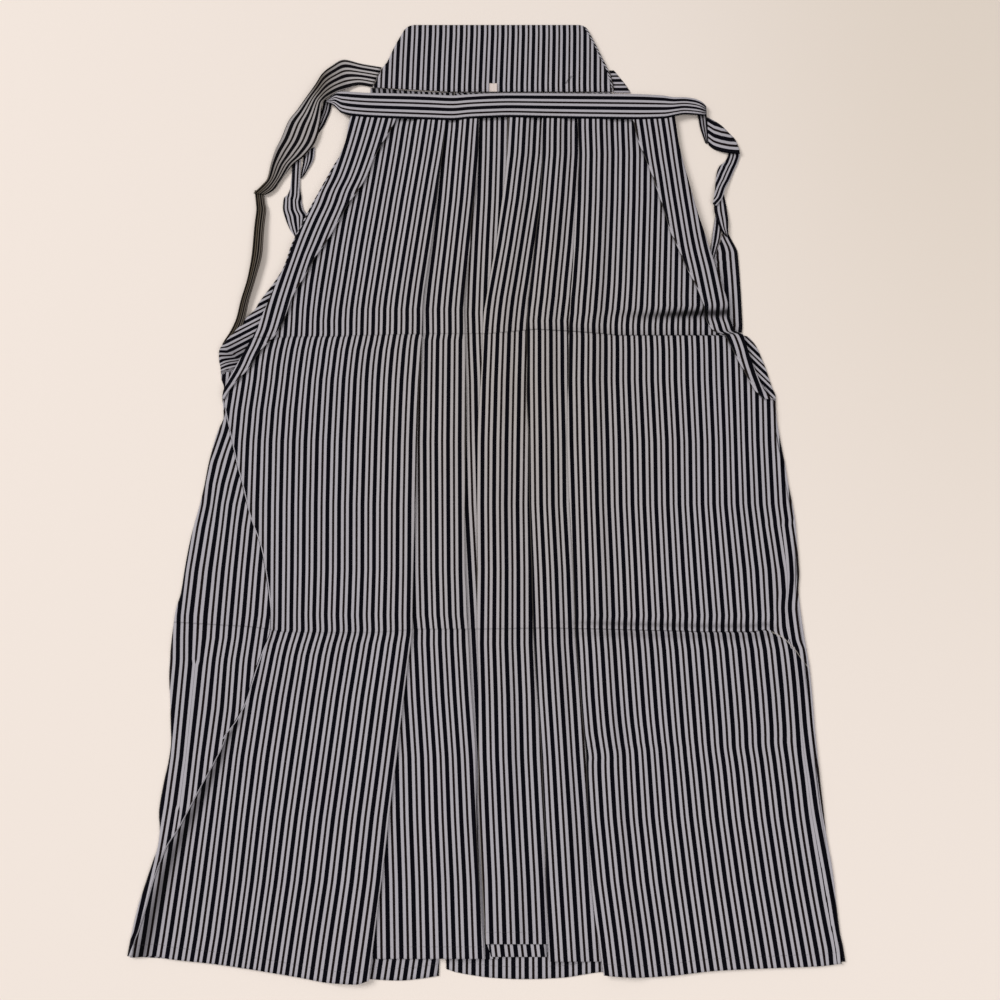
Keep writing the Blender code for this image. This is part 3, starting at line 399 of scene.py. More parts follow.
# The stripe count at both edges of each cross row of a tie, and how dark it is there: partly the tie's own brown,
# partly painted shade where it twists and along its tail
Stretch = namedtuple("Stretch", "name table counts dark")
TIES = (
    Stretch("back_tie_left_1", BACK_TIE_LEFT_1,
            ((-0.65, 2.15), (-0.65, 2.15), (-0.65, 2.2), (-0.65, 2.25), (-0.6, 2.3), (-0.6, 2.35), (-0.55, 2.4),
             (-0.5, 2.5), (-0.45, 2.55), (-0.45, 2.6), (-0.4, 2.6), (-0.4, 2.5), (-0.4, 2.3), (-0.4, 2.2),
             (-0.4, 2.1)),
            (0.0, 0.0, 0.08, 0.35, 0.6, 0.65, 0.35, 0.15, 0.14, 0.2, 0.3, 0.45, 0.62, 0.75, 0.85)),
    Stretch("back_tie_left_2", BACK_TIE_LEFT_2, ((-0.3, 1.9),), (0.85,)),
    Stretch("back_tie_right", BACK_TIE_RIGHT, ((0.0, 0.0),), (0.0,)),
    Stretch("front_tie_left_1", FRONT_TIE_LEFT_1, ((-0.2, 1.2),), (0.25,)),
    Stretch("front_tie_left_2", FRONT_TIE_LEFT_2, ((-0.1, 1.4),), (0.1,)),
    Stretch("front_tie_left_3", FRONT_TIE_LEFT_3,
            ((-0.2, 0.8), (-0.2, 0.8), (-0.3, 0.85), (-0.6, 1.1), (-1.05, 1.35), (-1.05, 1.35), (-1.05, 1.35),
             (-0.9, 1.35), (-0.6, 1.3)), (0.0,)),
    Stretch("front_tie_right_1", FRONT_TIE_RIGHT_1, ((-0.1, 1.05),), (0.3,)),
    Stretch("front_tie_right_2", FRONT_TIE_RIGHT_2, parallel(FRONT_TIE_RIGHT_2, 0.12, 13.5), (0.0,)),
    Stretch("front_tie_right_3", FRONT_TIE_RIGHT_3, parallel(FRONT_TIE_RIGHT_3, 1.32, 7.9), (0.0,)),
    Stretch("front_tie_right_4", FRONT_TIE_RIGHT_4, ((-1.15, 0.1),), (0.0,)),
    Stretch("front_tie_right_5", FRONT_TIE_RIGHT_5, ((-0.45, 0.65),), (0.0,)),
    Stretch("front_tie_right_6", FRONT_TIE_RIGHT_6, parallel(FRONT_TIE_RIGHT_6, 0.11, 12.0), (0.0,)),
)


def read(rows, places, column):
    """One named column of a table at any places, on a curve that never overshoots."""
    rows = sorted(rows, key=lambda row: row[0])
    known = np.array([row[0] for row in rows], float)
    values = np.array([getattr(row, column) for row in rows], float)
    places = np.clip(places, known[0], known[-1])
    steps = np.diff(values) / np.diff(known)
    before, after = steps[:-1], steps[1:]
    same_way = before * after > 0
    total = np.where(same_way, before + after, 1.0)
    inner = np.where(same_way, 2 * before * after / total, 0.0)
    slopes = np.concatenate([steps[:1], inner, steps[-1:]])
    k = np.clip(np.searchsorted(known, places, side="right") - 1, 0, len(steps) - 1)
    width = known[k + 1] - known[k]
    t = (places - known[k]) / width
    ends = values[k] * (2 * t**3 - 3 * t**2 + 1) + values[k + 1] * (3 * t**2 - 2 * t**3)
    return ends + width * (slopes[k] * (t**3 - 2 * t**2 + t) + slopes[k + 1] * (t**3 - t**2))


def soft_step(value, start, end):
    """0 at start, 1 at end, with no corner at either."""
    t = np.clip((value - start) / (end - start), 0.0, 1.0)
    return t * t * (3 - 2 * t)


def between(value, *pairs):
    """Straight runs through (place, value) pairs."""
    pairs = sorted(pairs)
    return np.interp(value, [pair[0] for pair in pairs], [pair[1] for pair in pairs])


def stripe_count(rows, columns, numbers, heights, x):
    """Which stripe lies at each x: a whole number is the middle of a thick dark stripe."""
    rows = sorted(rows, key=lambda row: row[0])
    known = [row[0] for row in rows]
    y = beside_creases(heights[:, None] + 0 * x, x)
    places = [np.interp(y, known, [getattr(row, c) for row in rows]) for c in columns]
    if places[0].mean() > places[-1].mean():
        places, numbers = places[::-1], numbers[::-1]
    turn_sign = 1.0 if numbers[-1] > numbers[0] else -1.0
    count = numbers[0] + turn_sign * (x - places[0]) / PITCH
    for k in range(len(places) - 1):
        share = (x - places[k]) / (places[k + 1] - places[k])
        count = np.where(share >= 0, numbers[k] + share * (numbers[k + 1] - numbers[k]), count)
    return np.where(x > places[-1], numbers[-1] + turn_sign * (x - places[-1]) / PITCH, count)


def beside_creases(y, x):
    """The height whose stripes show at a place: at a sharp crease the stripes step instead of bending."""
    reach = between(x, (-260, 1.2), (-60, 1.0), (0, 2.4), (60, 3.0), (250, 3.0))
    for crease in (upper_crease(x), lower_crease(x)):
        above = y - crease
        y = y + np.sign(above) * reach * np.clip(1 - np.abs(above) / 7, 0, 1)
    return y


def left_count(heights, x):
    """Stripes of the left panel."""
    return stripe_count(LEFT_STRIPES, PANEL_COLUMNS, PANEL_NUMBERS, heights, x)


def right_count(heights, x):
    """Stripes of the right panel, with the part of a repeat that the tuck beside its edge hides."""
    count = stripe_count(RIGHT_STRIPES, PANEL_COLUMNS, PANEL_NUMBERS, heights, x)
    y = beside_creases(heights[:, None] + 0 * x, x)
    last, before, after = read(RIGHT_STRIPES, y, "n17"), read(TUCK, y, "n18"), read(TUCK, y, "n19")
    repeat = np.maximum(after - before, between(y, (-110, 11.3), (-74, 10.4)))
    beyond = np.where(x < (before + after) / 2, 18 + (x - before) / repeat, 19 + (x - after) / repeat)
    beyond = np.where(x < before, 17 + (x - last) / (before - last), beyond)
    return np.where((x > last) & (y < TUCK[0].y), beyond, count)


def strip_count(rows):
    """Stripes of the strip between two folds."""
    return lambda heights, x: stripe_count(rows, ("n0", "n3"), (0, 3), heights, x)


def upper_crease(x):
    """Height of the upper storage crease."""
    return between(x, (-250, 103), (-150, 104), (-60, 107), (0, 107), (45, 111.5), (80, 109.5),
                   (110, 107), (120, 105.5), (220, 105.5), (240, 109))


def lower_crease(x):
    """Height of the lower storage crease, which turns down beside the right edge."""
    return between(x, (-272, -166), (-240, -168), (-205, -170), (-180, -174), (-160, -175), (-100, -175),
                   (-60, -172), (-10, -172), (50, -171), (100, -172), (145, -173.2), (170, -173.8), (190, -174.4),
                   (230, -174.4), (238, -173.5), (243.8, -172.5), (248.9, -174.5), (258.2, -179.3), (263.8, -185),
                   (269.4, -191.9), (274, -199.6), (279.6, -206.5))


def from_crease(x, y):
    """Distance from the nearest storage crease, as kept on a mesh, and how strong the painted shade line along that
    crease is.

    Below 0, the crease gets a painted highlight line instead of painted shade.
    """
    away = np.clip(y - upper_crease(x), -20, 20)
    depth = between(x, (-230, 0.3), (-60, 0.25), (0, 0.4), (25, 0.6), (60, 0.85), (215, 0.9), (230, 0.9))
    away = np.where(y < -30, np.clip(lower_crease(x) - y, -20, 20), away)
    lower = between(x, (-275, 0.5), (-200, 0.5), (-170, 0.2), (-100, 0.2), (0, 0.4), (60, 0.6), (120, 0.8),
                    (242, 0.9), (247, 0.2), (250, -0.65), (285, -0.65))
    away = np.where(y < -222, np.clip(y + 272, -20, 20), away)
    at_left, at_right = between(x, (60, 0), (85, 1), (120, 1), (150, 0)), right_share(x)
    weak = 0.1 * (at_left + at_right)
    return away + KEPT, np.where(y < -222, weak, np.where(y < -30, lower, depth))


def right_share(x):
    """How plainly the weakest crease shows beside the right edge."""
    return between(x, (240, 0), (255, 1), (268, 1), (275, 0))


def fold_shadow(x, y):
    """The hollow above the upper crease, deepest at the right, where little light reaches."""
    above = y - upper_crease(x)
    middle = between(x, (100, 24), (150, 20), (200, 22.5))
    hollow = 1.1 * soft_step(x, 105, 190) * np.exp(-((above - middle) / 4.6) ** 2)
    hollow = hollow + 0.22 * soft_step(x, 20, 120) * np.exp(-((above - 2) / 3) ** 2)
    lower = y - lower_crease(x)
    for depth, start, end, middle, reach in ((0.45, 246, 256, 5, 2.2), (0.3, 250, 262, -4, 3.5)):
        beside = soft_step(x, 40, 120) * (1 - soft_step(x, start, end))
        hollow = hollow + depth * beside * np.exp(-((lower - middle) / reach) ** 2)
    return np.clip(hollow, 0, 1)


def unevenness(x, y):
    """Soft hollows and rises of cloth that lies on a floor, none of them regular."""
    waves = (
        (0.16, 0.021, 0.034, 0.4), (0.14, 0.047, -0.018, 1.9), (0.12, -0.013, 0.058, 3.1),
        (0.09, 0.083, 0.027, 4.4), (0.07, 0.035, -0.093, 0.9), (0.05, -0.13, 0.071, 2.6),
    )
    total = sum(size * np.sin(along * x + up * y + shift) for size, along, up, shift in waves)
    return 0.45 + total


def relief(x, y):
    """How far every layer rises at a place: the two storage folds, weaker ones and the unevenness."""
    from_upper = y - upper_crease(x)
    strong = between(from_upper, (-40, 0), (-16, 0.05), (-0.7, 0.3), (0.7, 1.9), (6, 2.0), (14, 1.3),
                     (23, 0.35), (28, 0.5), (36, 2.2), (44, 2.0), (56, 1.2), (300, 1.0))
    mild = between(from_upper, (-40, 0), (-16, 0.1), (-0.7, 0.35), (0.7, 1.2), (10, 1.35), (22, 1.1),
                   (30, 1.0), (36, 1.5), (52, 1.2), (300, 1.0))
    weight = between(x, (-260, 0.45), (-60, 0.1), (0, 0.25), (60, 0.55), (120, 0.8), (170, 1.0), (240, 1.0))
    upper = weight * strong + (1 - weight) * mild
    from_lower = y - lower_crease(x)
    lower = between(from_lower, (-60, 0), (-14, 0.12), (-1.3, 0.05), (0.1, 0.95), (1.6, 1.05), (9, 0.45), (30, 0))
    lower = lower * (1 - 0.75 * soft_step(x, 248, 260))
    weak_line = between(x, (60, 0), (85, 1), (150, 1), (175, 0)) + right_share(x)
    weak = 0.3 * weak_line * np.exp(-((y + 275) / 2.2) ** 2)
    pressed = 1 - 0.8 * soft_step(y, 230, 330)
    return (upper + lower + weak + unevenness(x, y)) * pressed


def front_base(y):
    """The fronts lie on the folded slit edges, and lower below them."""
    return (1 + soft_step(y, DROP_END, DROP_START)) * LAYER + MIDDLE


class Sections:
    """One piece's cross-section at every height, laid out column by column along the cloth."""

    def __init__(self, heights, way=-1.0):
        """The way is the sign with which the stripe count grows along the cloth."""
        self.heights, self.way = heights, way
        self.x, self.level, self.count, self.hem, self.fold = [], [], [], [], []

    def add(self, x, level, count, hem, fold=0.0):
        """One column, the same at every height or with a value for each."""
        rows = np.ones(len(self.heights))
        for kept, value in zip((self.x, self.level, self.count, self.hem, self.fold), (x, level, count, hem, fold)):
            kept.append(rows * value)

    def run(self, start, end, first, last, columns, count, hem, skip_end=True):
        """A run from x start to x end that goes from one level to another, softly."""
        shares = np.linspace(0, 1, columns, endpoint=not skip_end)
        for share in shares:
            x = start + (end - start) * share
            rise = share * share * (3 - 2 * share)
            self.add(x, first + (last - first) * rise, count(self.heights, x[:, None])[:, 0], hem(x))

    def turn(self, edge, facing, first, last, hem, counts=None, steps=6, worn=1.0):
        """A folded edge: half a circle from one level to another that reaches the edge from inside."""
        reach = abs(last - first) * LAYER / 2
        centre = edge - facing * (reach + CLOTH / 2)
        begin = self.count[-1] if counts is None else counts
        way = self.way
        for step in range(steps + 1):
            angle = pi * (step / steps - 0.5)
            level = (first + last) / 2 + (last - first) / 2 * sin(angle)
            travelled = reach * (angle + pi / 2)
            place, count = centre + facing * reach * cos(angle), begin + way * travelled / PITCH
            # The fold's edge is made lighter, partly as wear and partly as a painted highlight
            self.add(place, level, count, hem, worn * cos(angle))

    def under(self, start, end, level, target, columns, hem):
        """A hidden layer from x start to x end whose stripes join up with the layer that follows it."""
        begin = self.count[-1]
        length = np.abs(end - start)
        natural = begin + self.way * length / PITCH
        shift = np.round(np.median(natural - target))
        self.shift = shift
        for share in np.linspace(0, 1, columns + 2)[1:-1]:
            self.add(start + (end - start) * share, level, begin + (target + shift - begin) * share, hem)

    def grids(self):
        """All columns side by side, a grid for each kind of value."""
        return [np.stack(kept, 1) for kept in (self.x, self.level, self.count, self.hem, self.fold)]


def whole(shift, count):
    """A stripe count moved on by whole repeats, so that it joins up with the piece before it."""
    return lambda heights, x: count(heights, x) + shift


def hem_line(table):
    """A hem that a table gives."""
    return lambda x: read(table, x, "y")


def level_hem(y):
    """A hem at one height."""
    return lambda x: np.full_like(x, y)


def pleat(sections, foot, edge, facing, depth, count, next_count, hem, under_hem):
    """The end of a strip as it climbs onto its pleat, the fold, and the layer under it back to the next strip."""
    top = edge - facing * (depth + CLEAR)
    sections.run(foot, top, 0, 2, 9, count, hem)
    near = edge - facing * FOLD_REACH
    sections.run(top, near, 2, 2, 10, count, hem)
    at_fold = count(sections.heights, near[:, None])[:, 0]
    sections.turn(edge, facing, 2, 1, hem(edge), counts=at_fold)
    inner = edge - facing * depth
    back = inner + facing * FOLD_REACH
    start = next_count(sections.heights, back[:, None])[:, 0]
    start = start - sections.way * pi * LAYER / 2 / PITCH
    sections.under(near, back, 1, start, 8, under_hem)
    sections.turn(inner, -facing, 1, 0, under_hem, counts=start + sections.shift)
    return sections.shift


def front_heights():
    """Heights of the fronts' cross-sections, close together at the creases."""
    fine = [np.arange(352, 152, -4.5), np.arange(152, 96, -1.1), np.arange(96, -156, -5.0)]
    fine += [np.arange(-156, -198, -1.5), np.arange(-198, -244, -5.2), np.arange(-244, -306, -3.1),
             np.arange(-306, HEM_TOP, -5.6), np.linspace(HEM_TOP, HEM_FOOT, 14)]
    return np.concatenate(fine)


def set_in(heights):
    """The left front's slanted edge stops short of the back, whose edge shows beside it."""
    return 1.8 * soft_step(heights, 163, 180) * (1 - soft_step(heights, 285, 310))


def front_left_sections(heights):
    """Panel, pleat A, strip A-B, pleat B and the middle strip, from the slanted edge inwards."""
    edge = {name: read(FRONT, heights, name) for name in ("left", "fold_a", "fold_b", "fold_c")}
    edge["left"] = edge["left"] + set_in(heights)
    made = Sections(heights)
    outer = hem_line(FRONT_LEFT_HEM)
    start = edge["left"] + 0.1
    foot_a = edge["fold_a"] - SIDE_PLEAT - CLEAR - RAMP
    plain = heights[:, None] < EDGE_LINE_TOP

    def bound(heights, x):
        """Stripes of the panel, bounded by the plain line along its edge."""
        return np.where(plain & (x < (start + EDGE_LINE)[:, None]), PALE_COUNT, left_count(heights, x))

    made.run(start, start + EDGE_LINE - 0.1, 0, 0, 1, bound, outer)
    made.run(start + EDGE_LINE - 0.1, start + EDGE_LINE + 0.1, 0, 0, 1, bound, outer)
    made.run(start + EDGE_LINE + 0.1, foot_a, 0, 0, 70, bound, outer)
    ab = strip_count(STRIPES_AB)
    bc = strip_count(STRIPES_BC)
    side_pleat = np.full_like(heights, SIDE_PLEAT)
    shift_ab = pleat(made, foot_a, edge["fold_a"], 1, side_pleat, left_count, ab, outer, UNDER_A_HEM)
    depth_b = PLEAT_SHARE * (edge["fold_b"] - edge["fold_a"])
    foot_b = edge["fold_b"] - depth_b - CLEAR - RAMP
    flat = level_hem(STRIP_AB_HEM)
    lean = edge["fold_a"] - SIDE_PLEAT + LAYER
    made.run(lean, foot_b, 0, 0, 10, whole(shift_ab, ab), flat)
    shift_bc = pleat(made, foot_b, edge["fold_b"], 1, depth_b, whole(shift_ab, ab), bc, flat, STRIP_AB_HEM)
    lean = edge["fold_b"] - depth_b + LAYER
    made.run(lean, edge["fold_c"] + CENTRE_TUCK, 0, 0, 14, whole(shift_bc, bc), flat, skip_end=False)
    return made


def front_right_sections(heights):
    """Panel, pleat E, strip D-E, pleat D, strip C-D and the fold C over the middle strip."""
    edge = {name: read(FRONT, heights, name) for name in ("fold_c", "fold_d", "fold_e", "right")}
    made = Sections(heights)
    outer = hem_line(FRONT_RIGHT_HEM)
    start = edge["right"] - 0.1
    foot_e = edge["fold_e"] + SIDE_PLEAT + CLEAR + RAMP
    tuck = (read(TUCK, heights, "n18") + read(TUCK, heights, "n19")) / 2
    tuck = np.minimum(tuck, start - 6)
    made.run(start, tuck + 0.12, 0, 0, 6, right_count, outer)
    made.run(tuck + 0.12, tuck - 0.12, 0, 0, 1, right_count, outer)
    made.run(tuck - 0.12, foot_e, 0, 0, 64, right_count, outer)
    de, cd = strip_count(STRIPES_DE), strip_count(STRIPES_CD)
    side_pleat = np.full_like(heights, SIDE_PLEAT)
    shift_de = pleat(made, foot_e, edge["fold_e"], -1, side_pleat, right_count, de, outer, UNDER_E_HEM)
    depth_d = PLEAT_SHARE * (edge["fold_e"] - edge["fold_d"])
    foot_d = edge["fold_d"] + depth_d + CLEAR + RAMP
    flat = level_hem(STRIP_DE_HEM)
    made.run(edge["fold_e"] + SIDE_PLEAT - LAYER, foot_d, 0, 0, 8, whole(shift_de, de), flat)
    shift_cd = pleat(made, foot_d, edge["fold_d"], -1, depth_d, whole(shift_de, de), cd, flat, UNDER_D_HEM)
    depth_c = PLEAT_SHARE * (edge["fold_d"] - edge["fold_c"])
    foot_c = edge["fold_c"] + depth_c + CLEAR + RAMP
    flat = level_hem(STRIP_CD_HEM)
    count = whole(shift_cd, cd)
    made.run(edge["fold_d"] + depth_d - LAYER, foot_c, 0, 0, 6, count, flat)
    top = edge["fold_c"] + depth_c + CLEAR
    near = edge["fold_c"] + FOLD_REACH
    made.run(foot_c, top, 0, 2, 9, count, flat)
    made.run(top, near, 2, 2, 8, count, flat)
    # Fold C's edge is made much lighter: a painted highlight on its shaded side, with some wear
    made.turn(edge["fold_c"], -1, 2, 1, STRIP_CD_HEM, counts=count(heights, near[:, None])[:, 0], worn=3.0)
    begin = made.count[-1]
    for share in np.linspace(0, 1, 8)[1:]:
        x = near + (edge["fold_c"] + depth_c - near) * share
        made.add(x, 1, begin - 0.35 - (x - near) / PITCH, UNDER_C_HEM)
    low = soft_step(-heights, 380, 405)
    for share in np.linspace(0, 1, 7)[1:]:
        x = edge["fold_c"] + depth_c + (edge["fold_d"] - 1.5 - edge["fold_c"] - depth_c) * share * low
        level = 1 - 1.45 * min(share * 2.0, 1.0) * (low > 0.01)
        made.add(x, level, begin - 0.35 - (x - near) / PITCH, UNDER_C_HEM)
    return made


def front_grid(heights, made):
    """Points and stripe places of a front, each column of its lower end brought to its own hem."""
    x, level, count, hem, fold = made.grids()
    y = np.repeat(heights[:, None], x.shape[1], 1)
    last = heights < HEM_TOP
    share = (HEM_TOP - heights[last]) / (HEM_TOP - HEM_FOOT)
    up = heights[::-1]
    for c in range(x.shape[1]):
        own = HEM_TOP + (hem[-1, c] - HEM_TOP) * share
        for values in (x, level, count, fold):
            values[last, c] = np.interp(own, up, values[::-1, c].copy())
        y[last, c] = own
    return x, y, level, count, fold


def drawn_in(points):
    """Cloth above the floor, moved towards the point below the eye, because the tables give places on the floor."""
    share = 1 - points[..., 2:] / EYE[2]
    foot = np.array(EYE[:2])
    return np.concatenate([foot + (points[..., :2] - foot) * share, points[..., 2:]], -1)


def cloth_mesh(name, points, counts, warp, fold=None, dark=None, creased=False, seam=None):
    """A sheet through a grid of points in millimetres, with its stripe count and its warp as a UV map."""
    from_seam, along_seam = (None, None) if seam is None else (seam[0] + KEPT, seam[1])
    rows, columns = points.shape[:2]
    placed = drawn_in(points).reshape(-1, 3) + (CENTRING[0], CENTRING[1], 0.0)
    index = np.arange(rows * columns).reshape(rows, columns)
    quads = np.stack([index[:-1, :-1], index[1:, :-1], index[1:, 1:], index[:-1, 1:]], -1).reshape(-1, 4)
    mesh = bpy.data.meshes.new(name)
    mesh.from_pydata((placed * MM).tolist(), [], quads.tolist())
    flat = np.stack([counts, warp], -1).reshape(-1, 2)[quads.reshape(-1)]
    layer = mesh.uv_layers.new(name="cloth")
    layer.data.foreach_set("uv", flat.astype(np.float32).reshape(-1))
    away, depth = from_crease(points[..., 0], points[..., 1]) if creased else (None, None)
    for label, given in (("fold", fold), ("dark", dark), ("from_crease", away), ("crease_depth", depth),
                         ("from_seam", from_seam), ("along_seam", along_seam)):
        values = np.broadcast_to(0.0 if given is None else given, (rows, columns)).reshape(-1)
        mesh.attributes.new(label, "FLOAT", "POINT").data.foreach_set("value", values.astype(np.float32))
    mesh.polygons.foreach_set("use_smooth", np.ones(len(quads), bool))
    if upside_down(mesh):
        mesh.flip_normals()
    mesh.update()
    return mesh


def upside_down(mesh):
    """Whether most of a sheet faces the floor."""
    normals = np.empty(len(mesh.polygons) * 3, np.float32)
    mesh.polygons.foreach_get("normal", normals)
    areas = np.empty(len(mesh.polygons), np.float32)
    mesh.polygons.foreach_get("area", areas)
    return float((normals.reshape(-1, 3)[:, 2] * areas).sum()) < 0


def add_piece(name, mesh, material, thickness=CLOTH):
    """A mesh as a piece of the looks, given its thickness where it is a single sheet."""
    piece = bpy.data.objects.new(name + "_cloth", mesh)
    piece.data.materials.append(material)
    looks.objects.link(piece)
    if thickness:
        thicken = piece.modifiers.new("Thickness", "SOLIDIFY")
        thicken.thickness = thickness * MM
        thicken.offset = 0.0
    return piece


def front_piece(name, made, heights, side, material):
    """A front with its pleats, lapped over the back beside it below the opening."""
    x, y, level, count, fold = front_grid(heights, made)
    lift = level * LAYER
    facing = -1 if side == "left" else 1
    from_edge = np.abs(x - read(FRONT, y, side))
    over = soft_step(y, -275, -255) if side == "left" else 1.0
    below_slit = soft_step(y, 30, 44)
    lap = 0.75 * over * (1 - below_slit) * (1 - soft_step(from_edge, 1.0, 6.0)) * (level < 0.01)
    z = front_base(y) + lift + relief(x, y) + lap
    points = np.stack([x, y, z], -1)
    inner = read(SLIT_LEFT if side == "left" else SLIT_RIGHT, y, "inner")
    beside = np.clip(-facing * (x - inner), 0, 9)
    # Painted shade: the hollows by the creases, and a painted shadow line beside the edge of the slit fold that lies
    # on the front
    shade = fold_shadow(x, y) + (0.5 if side == "left" else 0.25) * np.exp(-((beside / 1.9) ** 2)) * (y > 45)
    # Painted shadow on the left front beside its edge, where the back's flap lies over it low down
    if side == "left":
        middle = between(y, (-400, 9), (-312, 8), (-280, 6), (-245, 3))
        shade = shade + 0.8 * soft_step(-y, 232, 262) * np.exp(-((from_edge - middle) / (0.7 * middle)) ** 2)
    mesh = cloth_mesh(name, points, count, y / PITCH, fold, np.clip(shade, 0, 1), True, (y - y[-1] - HEM_SEAM, x))
    return add_piece(name, mesh, material)


def slit_fold(name, table, facing, material):
    """The tapered fold on a front's slanted edge: its fold faces the middle of the garment."""
    heights = np.concatenate([np.arange(352, 152, -4.0), np.arange(152, 96, -1.2), np.linspace(96, SLIT_FOOT, 24)])
    outer, inner = read(table, heights, "outer"), read(table, heights, "inner")
    stripe, across = read(table, heights, "stripe"), read(table, heights, "across")
    made = Sections(heights)
    count = lambda y, x: 2 * (x - stripe[:, None]) / across[:, None]
    near = inner - facing * FOLD_REACH
    if facing > 0:
        outer = outer + set_in(heights)
    made.run(outer - facing * 0.3, near, 2, 2, 26, count, level_hem(0.0))
    made.turn(inner, facing, 2, 1, 0.0, counts=count(heights, near[:, None])[:, 0])
    tuck = np.minimum(12.0, 0.6 * np.abs(outer - inner))
    begin = made.count[-1]
    for share in (0.33, 0.66, 1.0):
        made.add(near - facing * (tuck - LAYER) * share, 1, begin - facing * tuck * share / PITCH, 0.0)
    x, level, counts, _, fold = made.grids()
    y = np.repeat(heights[:, None], x.shape[1], 1)
    narrow = soft_step(np.abs(outer - inner), 3.0, 10.0)[:, None]
    top = soft_step(x * facing, (outer * facing)[:, None] - 0.5, (outer * facing)[:, None] + 3.5)
    level = np.where(level > 1.99, 1.35 + 0.65 * top, level)
    level = 1 + (level - 1) * (0.5 + 0.5 * narrow)
    z = front_base(y) + level * LAYER + relief(x, y)
    points = np.stack([x, y, z], -1)
    seam = (np.abs(x - inner[:, None]) - EDGE_SEAM, y)
    # Painted shade in the hollow above the upper crease
    mesh = cloth_mesh(name, points, counts, y / PITCH, fold, fold_shadow(x, y), True, seam)
    return add_piece(name, mesh, material)


def tail_lift(x, y):
    """How far the left back is raised by the tie that ends under its corner."""
    away = np.hypot(x - TAIL_END[0], y - TAIL_END[1]) / TAIL_LIFT_REACH
    return np.where(away < 1, TAIL_LIFT * (1 - away**2) ** 2, 0.0)


def left_back_count(heights, x):
    """Stripes of the left back: along the leg and its flap, slanted beside the opening and flat at its corner."""
    along = stripe_count(BACK_LEFT_STRIPES, ("n0", "n1", "n2", "n3", "n5"), (0, 1, 2, 3, 5), heights, x)
    y = heights[:, None] + 0 * x
    tucked = (y < -203) & (y > -322)
    skipped = np.where(along < 0.5, np.minimum(along, 0.38), np.maximum(along, 0.62))
    along = np.where(tucked & (along > 0.3) & (along < 0.7), skipped, along)
    slant_pitch, flat_pitch, start, corner = 9.4, 7.36, 0.18, 97
    slanted = (y * cos(radians(30)) - x * sin(radians(30))) / slant_pitch - start
    border = corner - 0.75 * (x + 250)
    # both kinds of stripes meet on the border at x = -250
    flat = (y - 0.15 * x) / flat_pitch + (0.866 * corner + 125) / slant_pitch - start - (corner + 37.5) / flat_pitch
    depth = border - y
    sag = 2.0 * np.sin(pi * np.clip((x + 252) / 28, 0, 1)) * soft_step(depth, 0, 5)
    climb = 4.0 * np.exp(-np.clip(x + 252, 0, 60) / 6) * soft_step(-y, -88, -76)
    beside = np.where(depth < 0, slanted, flat + (sag * soft_step(y, 76, 84) + climb) / flat_pitch)
    strip = (x + 84.7 + 0.1 * (y - 374)) / 10.6
    beside = np.where(y > 345, strip, beside)
    return np.where(y > 67 + 0.3 * (x + 250), beside, along)


def right_back_count(heights, x):
    """Stripes of the right back: along the leg, upright near its hem and slanted beside the opening."""
    y = heights[:, None] + 0 * x
    upright = right_count(np.where(heights < -434, -446.0, heights), x)
    along = np.where((y < -434) & (x < 120), upright, right_count(heights, x))
    slanted = (0.743 * x + 0.669 * y) / 8.5 + 0.06
    return np.where(y > 41, slanted, along)


def back_heights():
    """Heights of the back's cross-sections, close together at the creases and the turned corner."""
    fine = [np.arange(376, 162, -6.0), np.arange(162, 40, -2.0), np.arange(40, -156, -4.5)]
    fine += [np.arange(-156, -198, -1.5), np.arange(-198, HEM_TOP, -5.5), np.linspace(HEM_TOP, HEM_FOOT, 12)]
    return np.concatenate(fine)


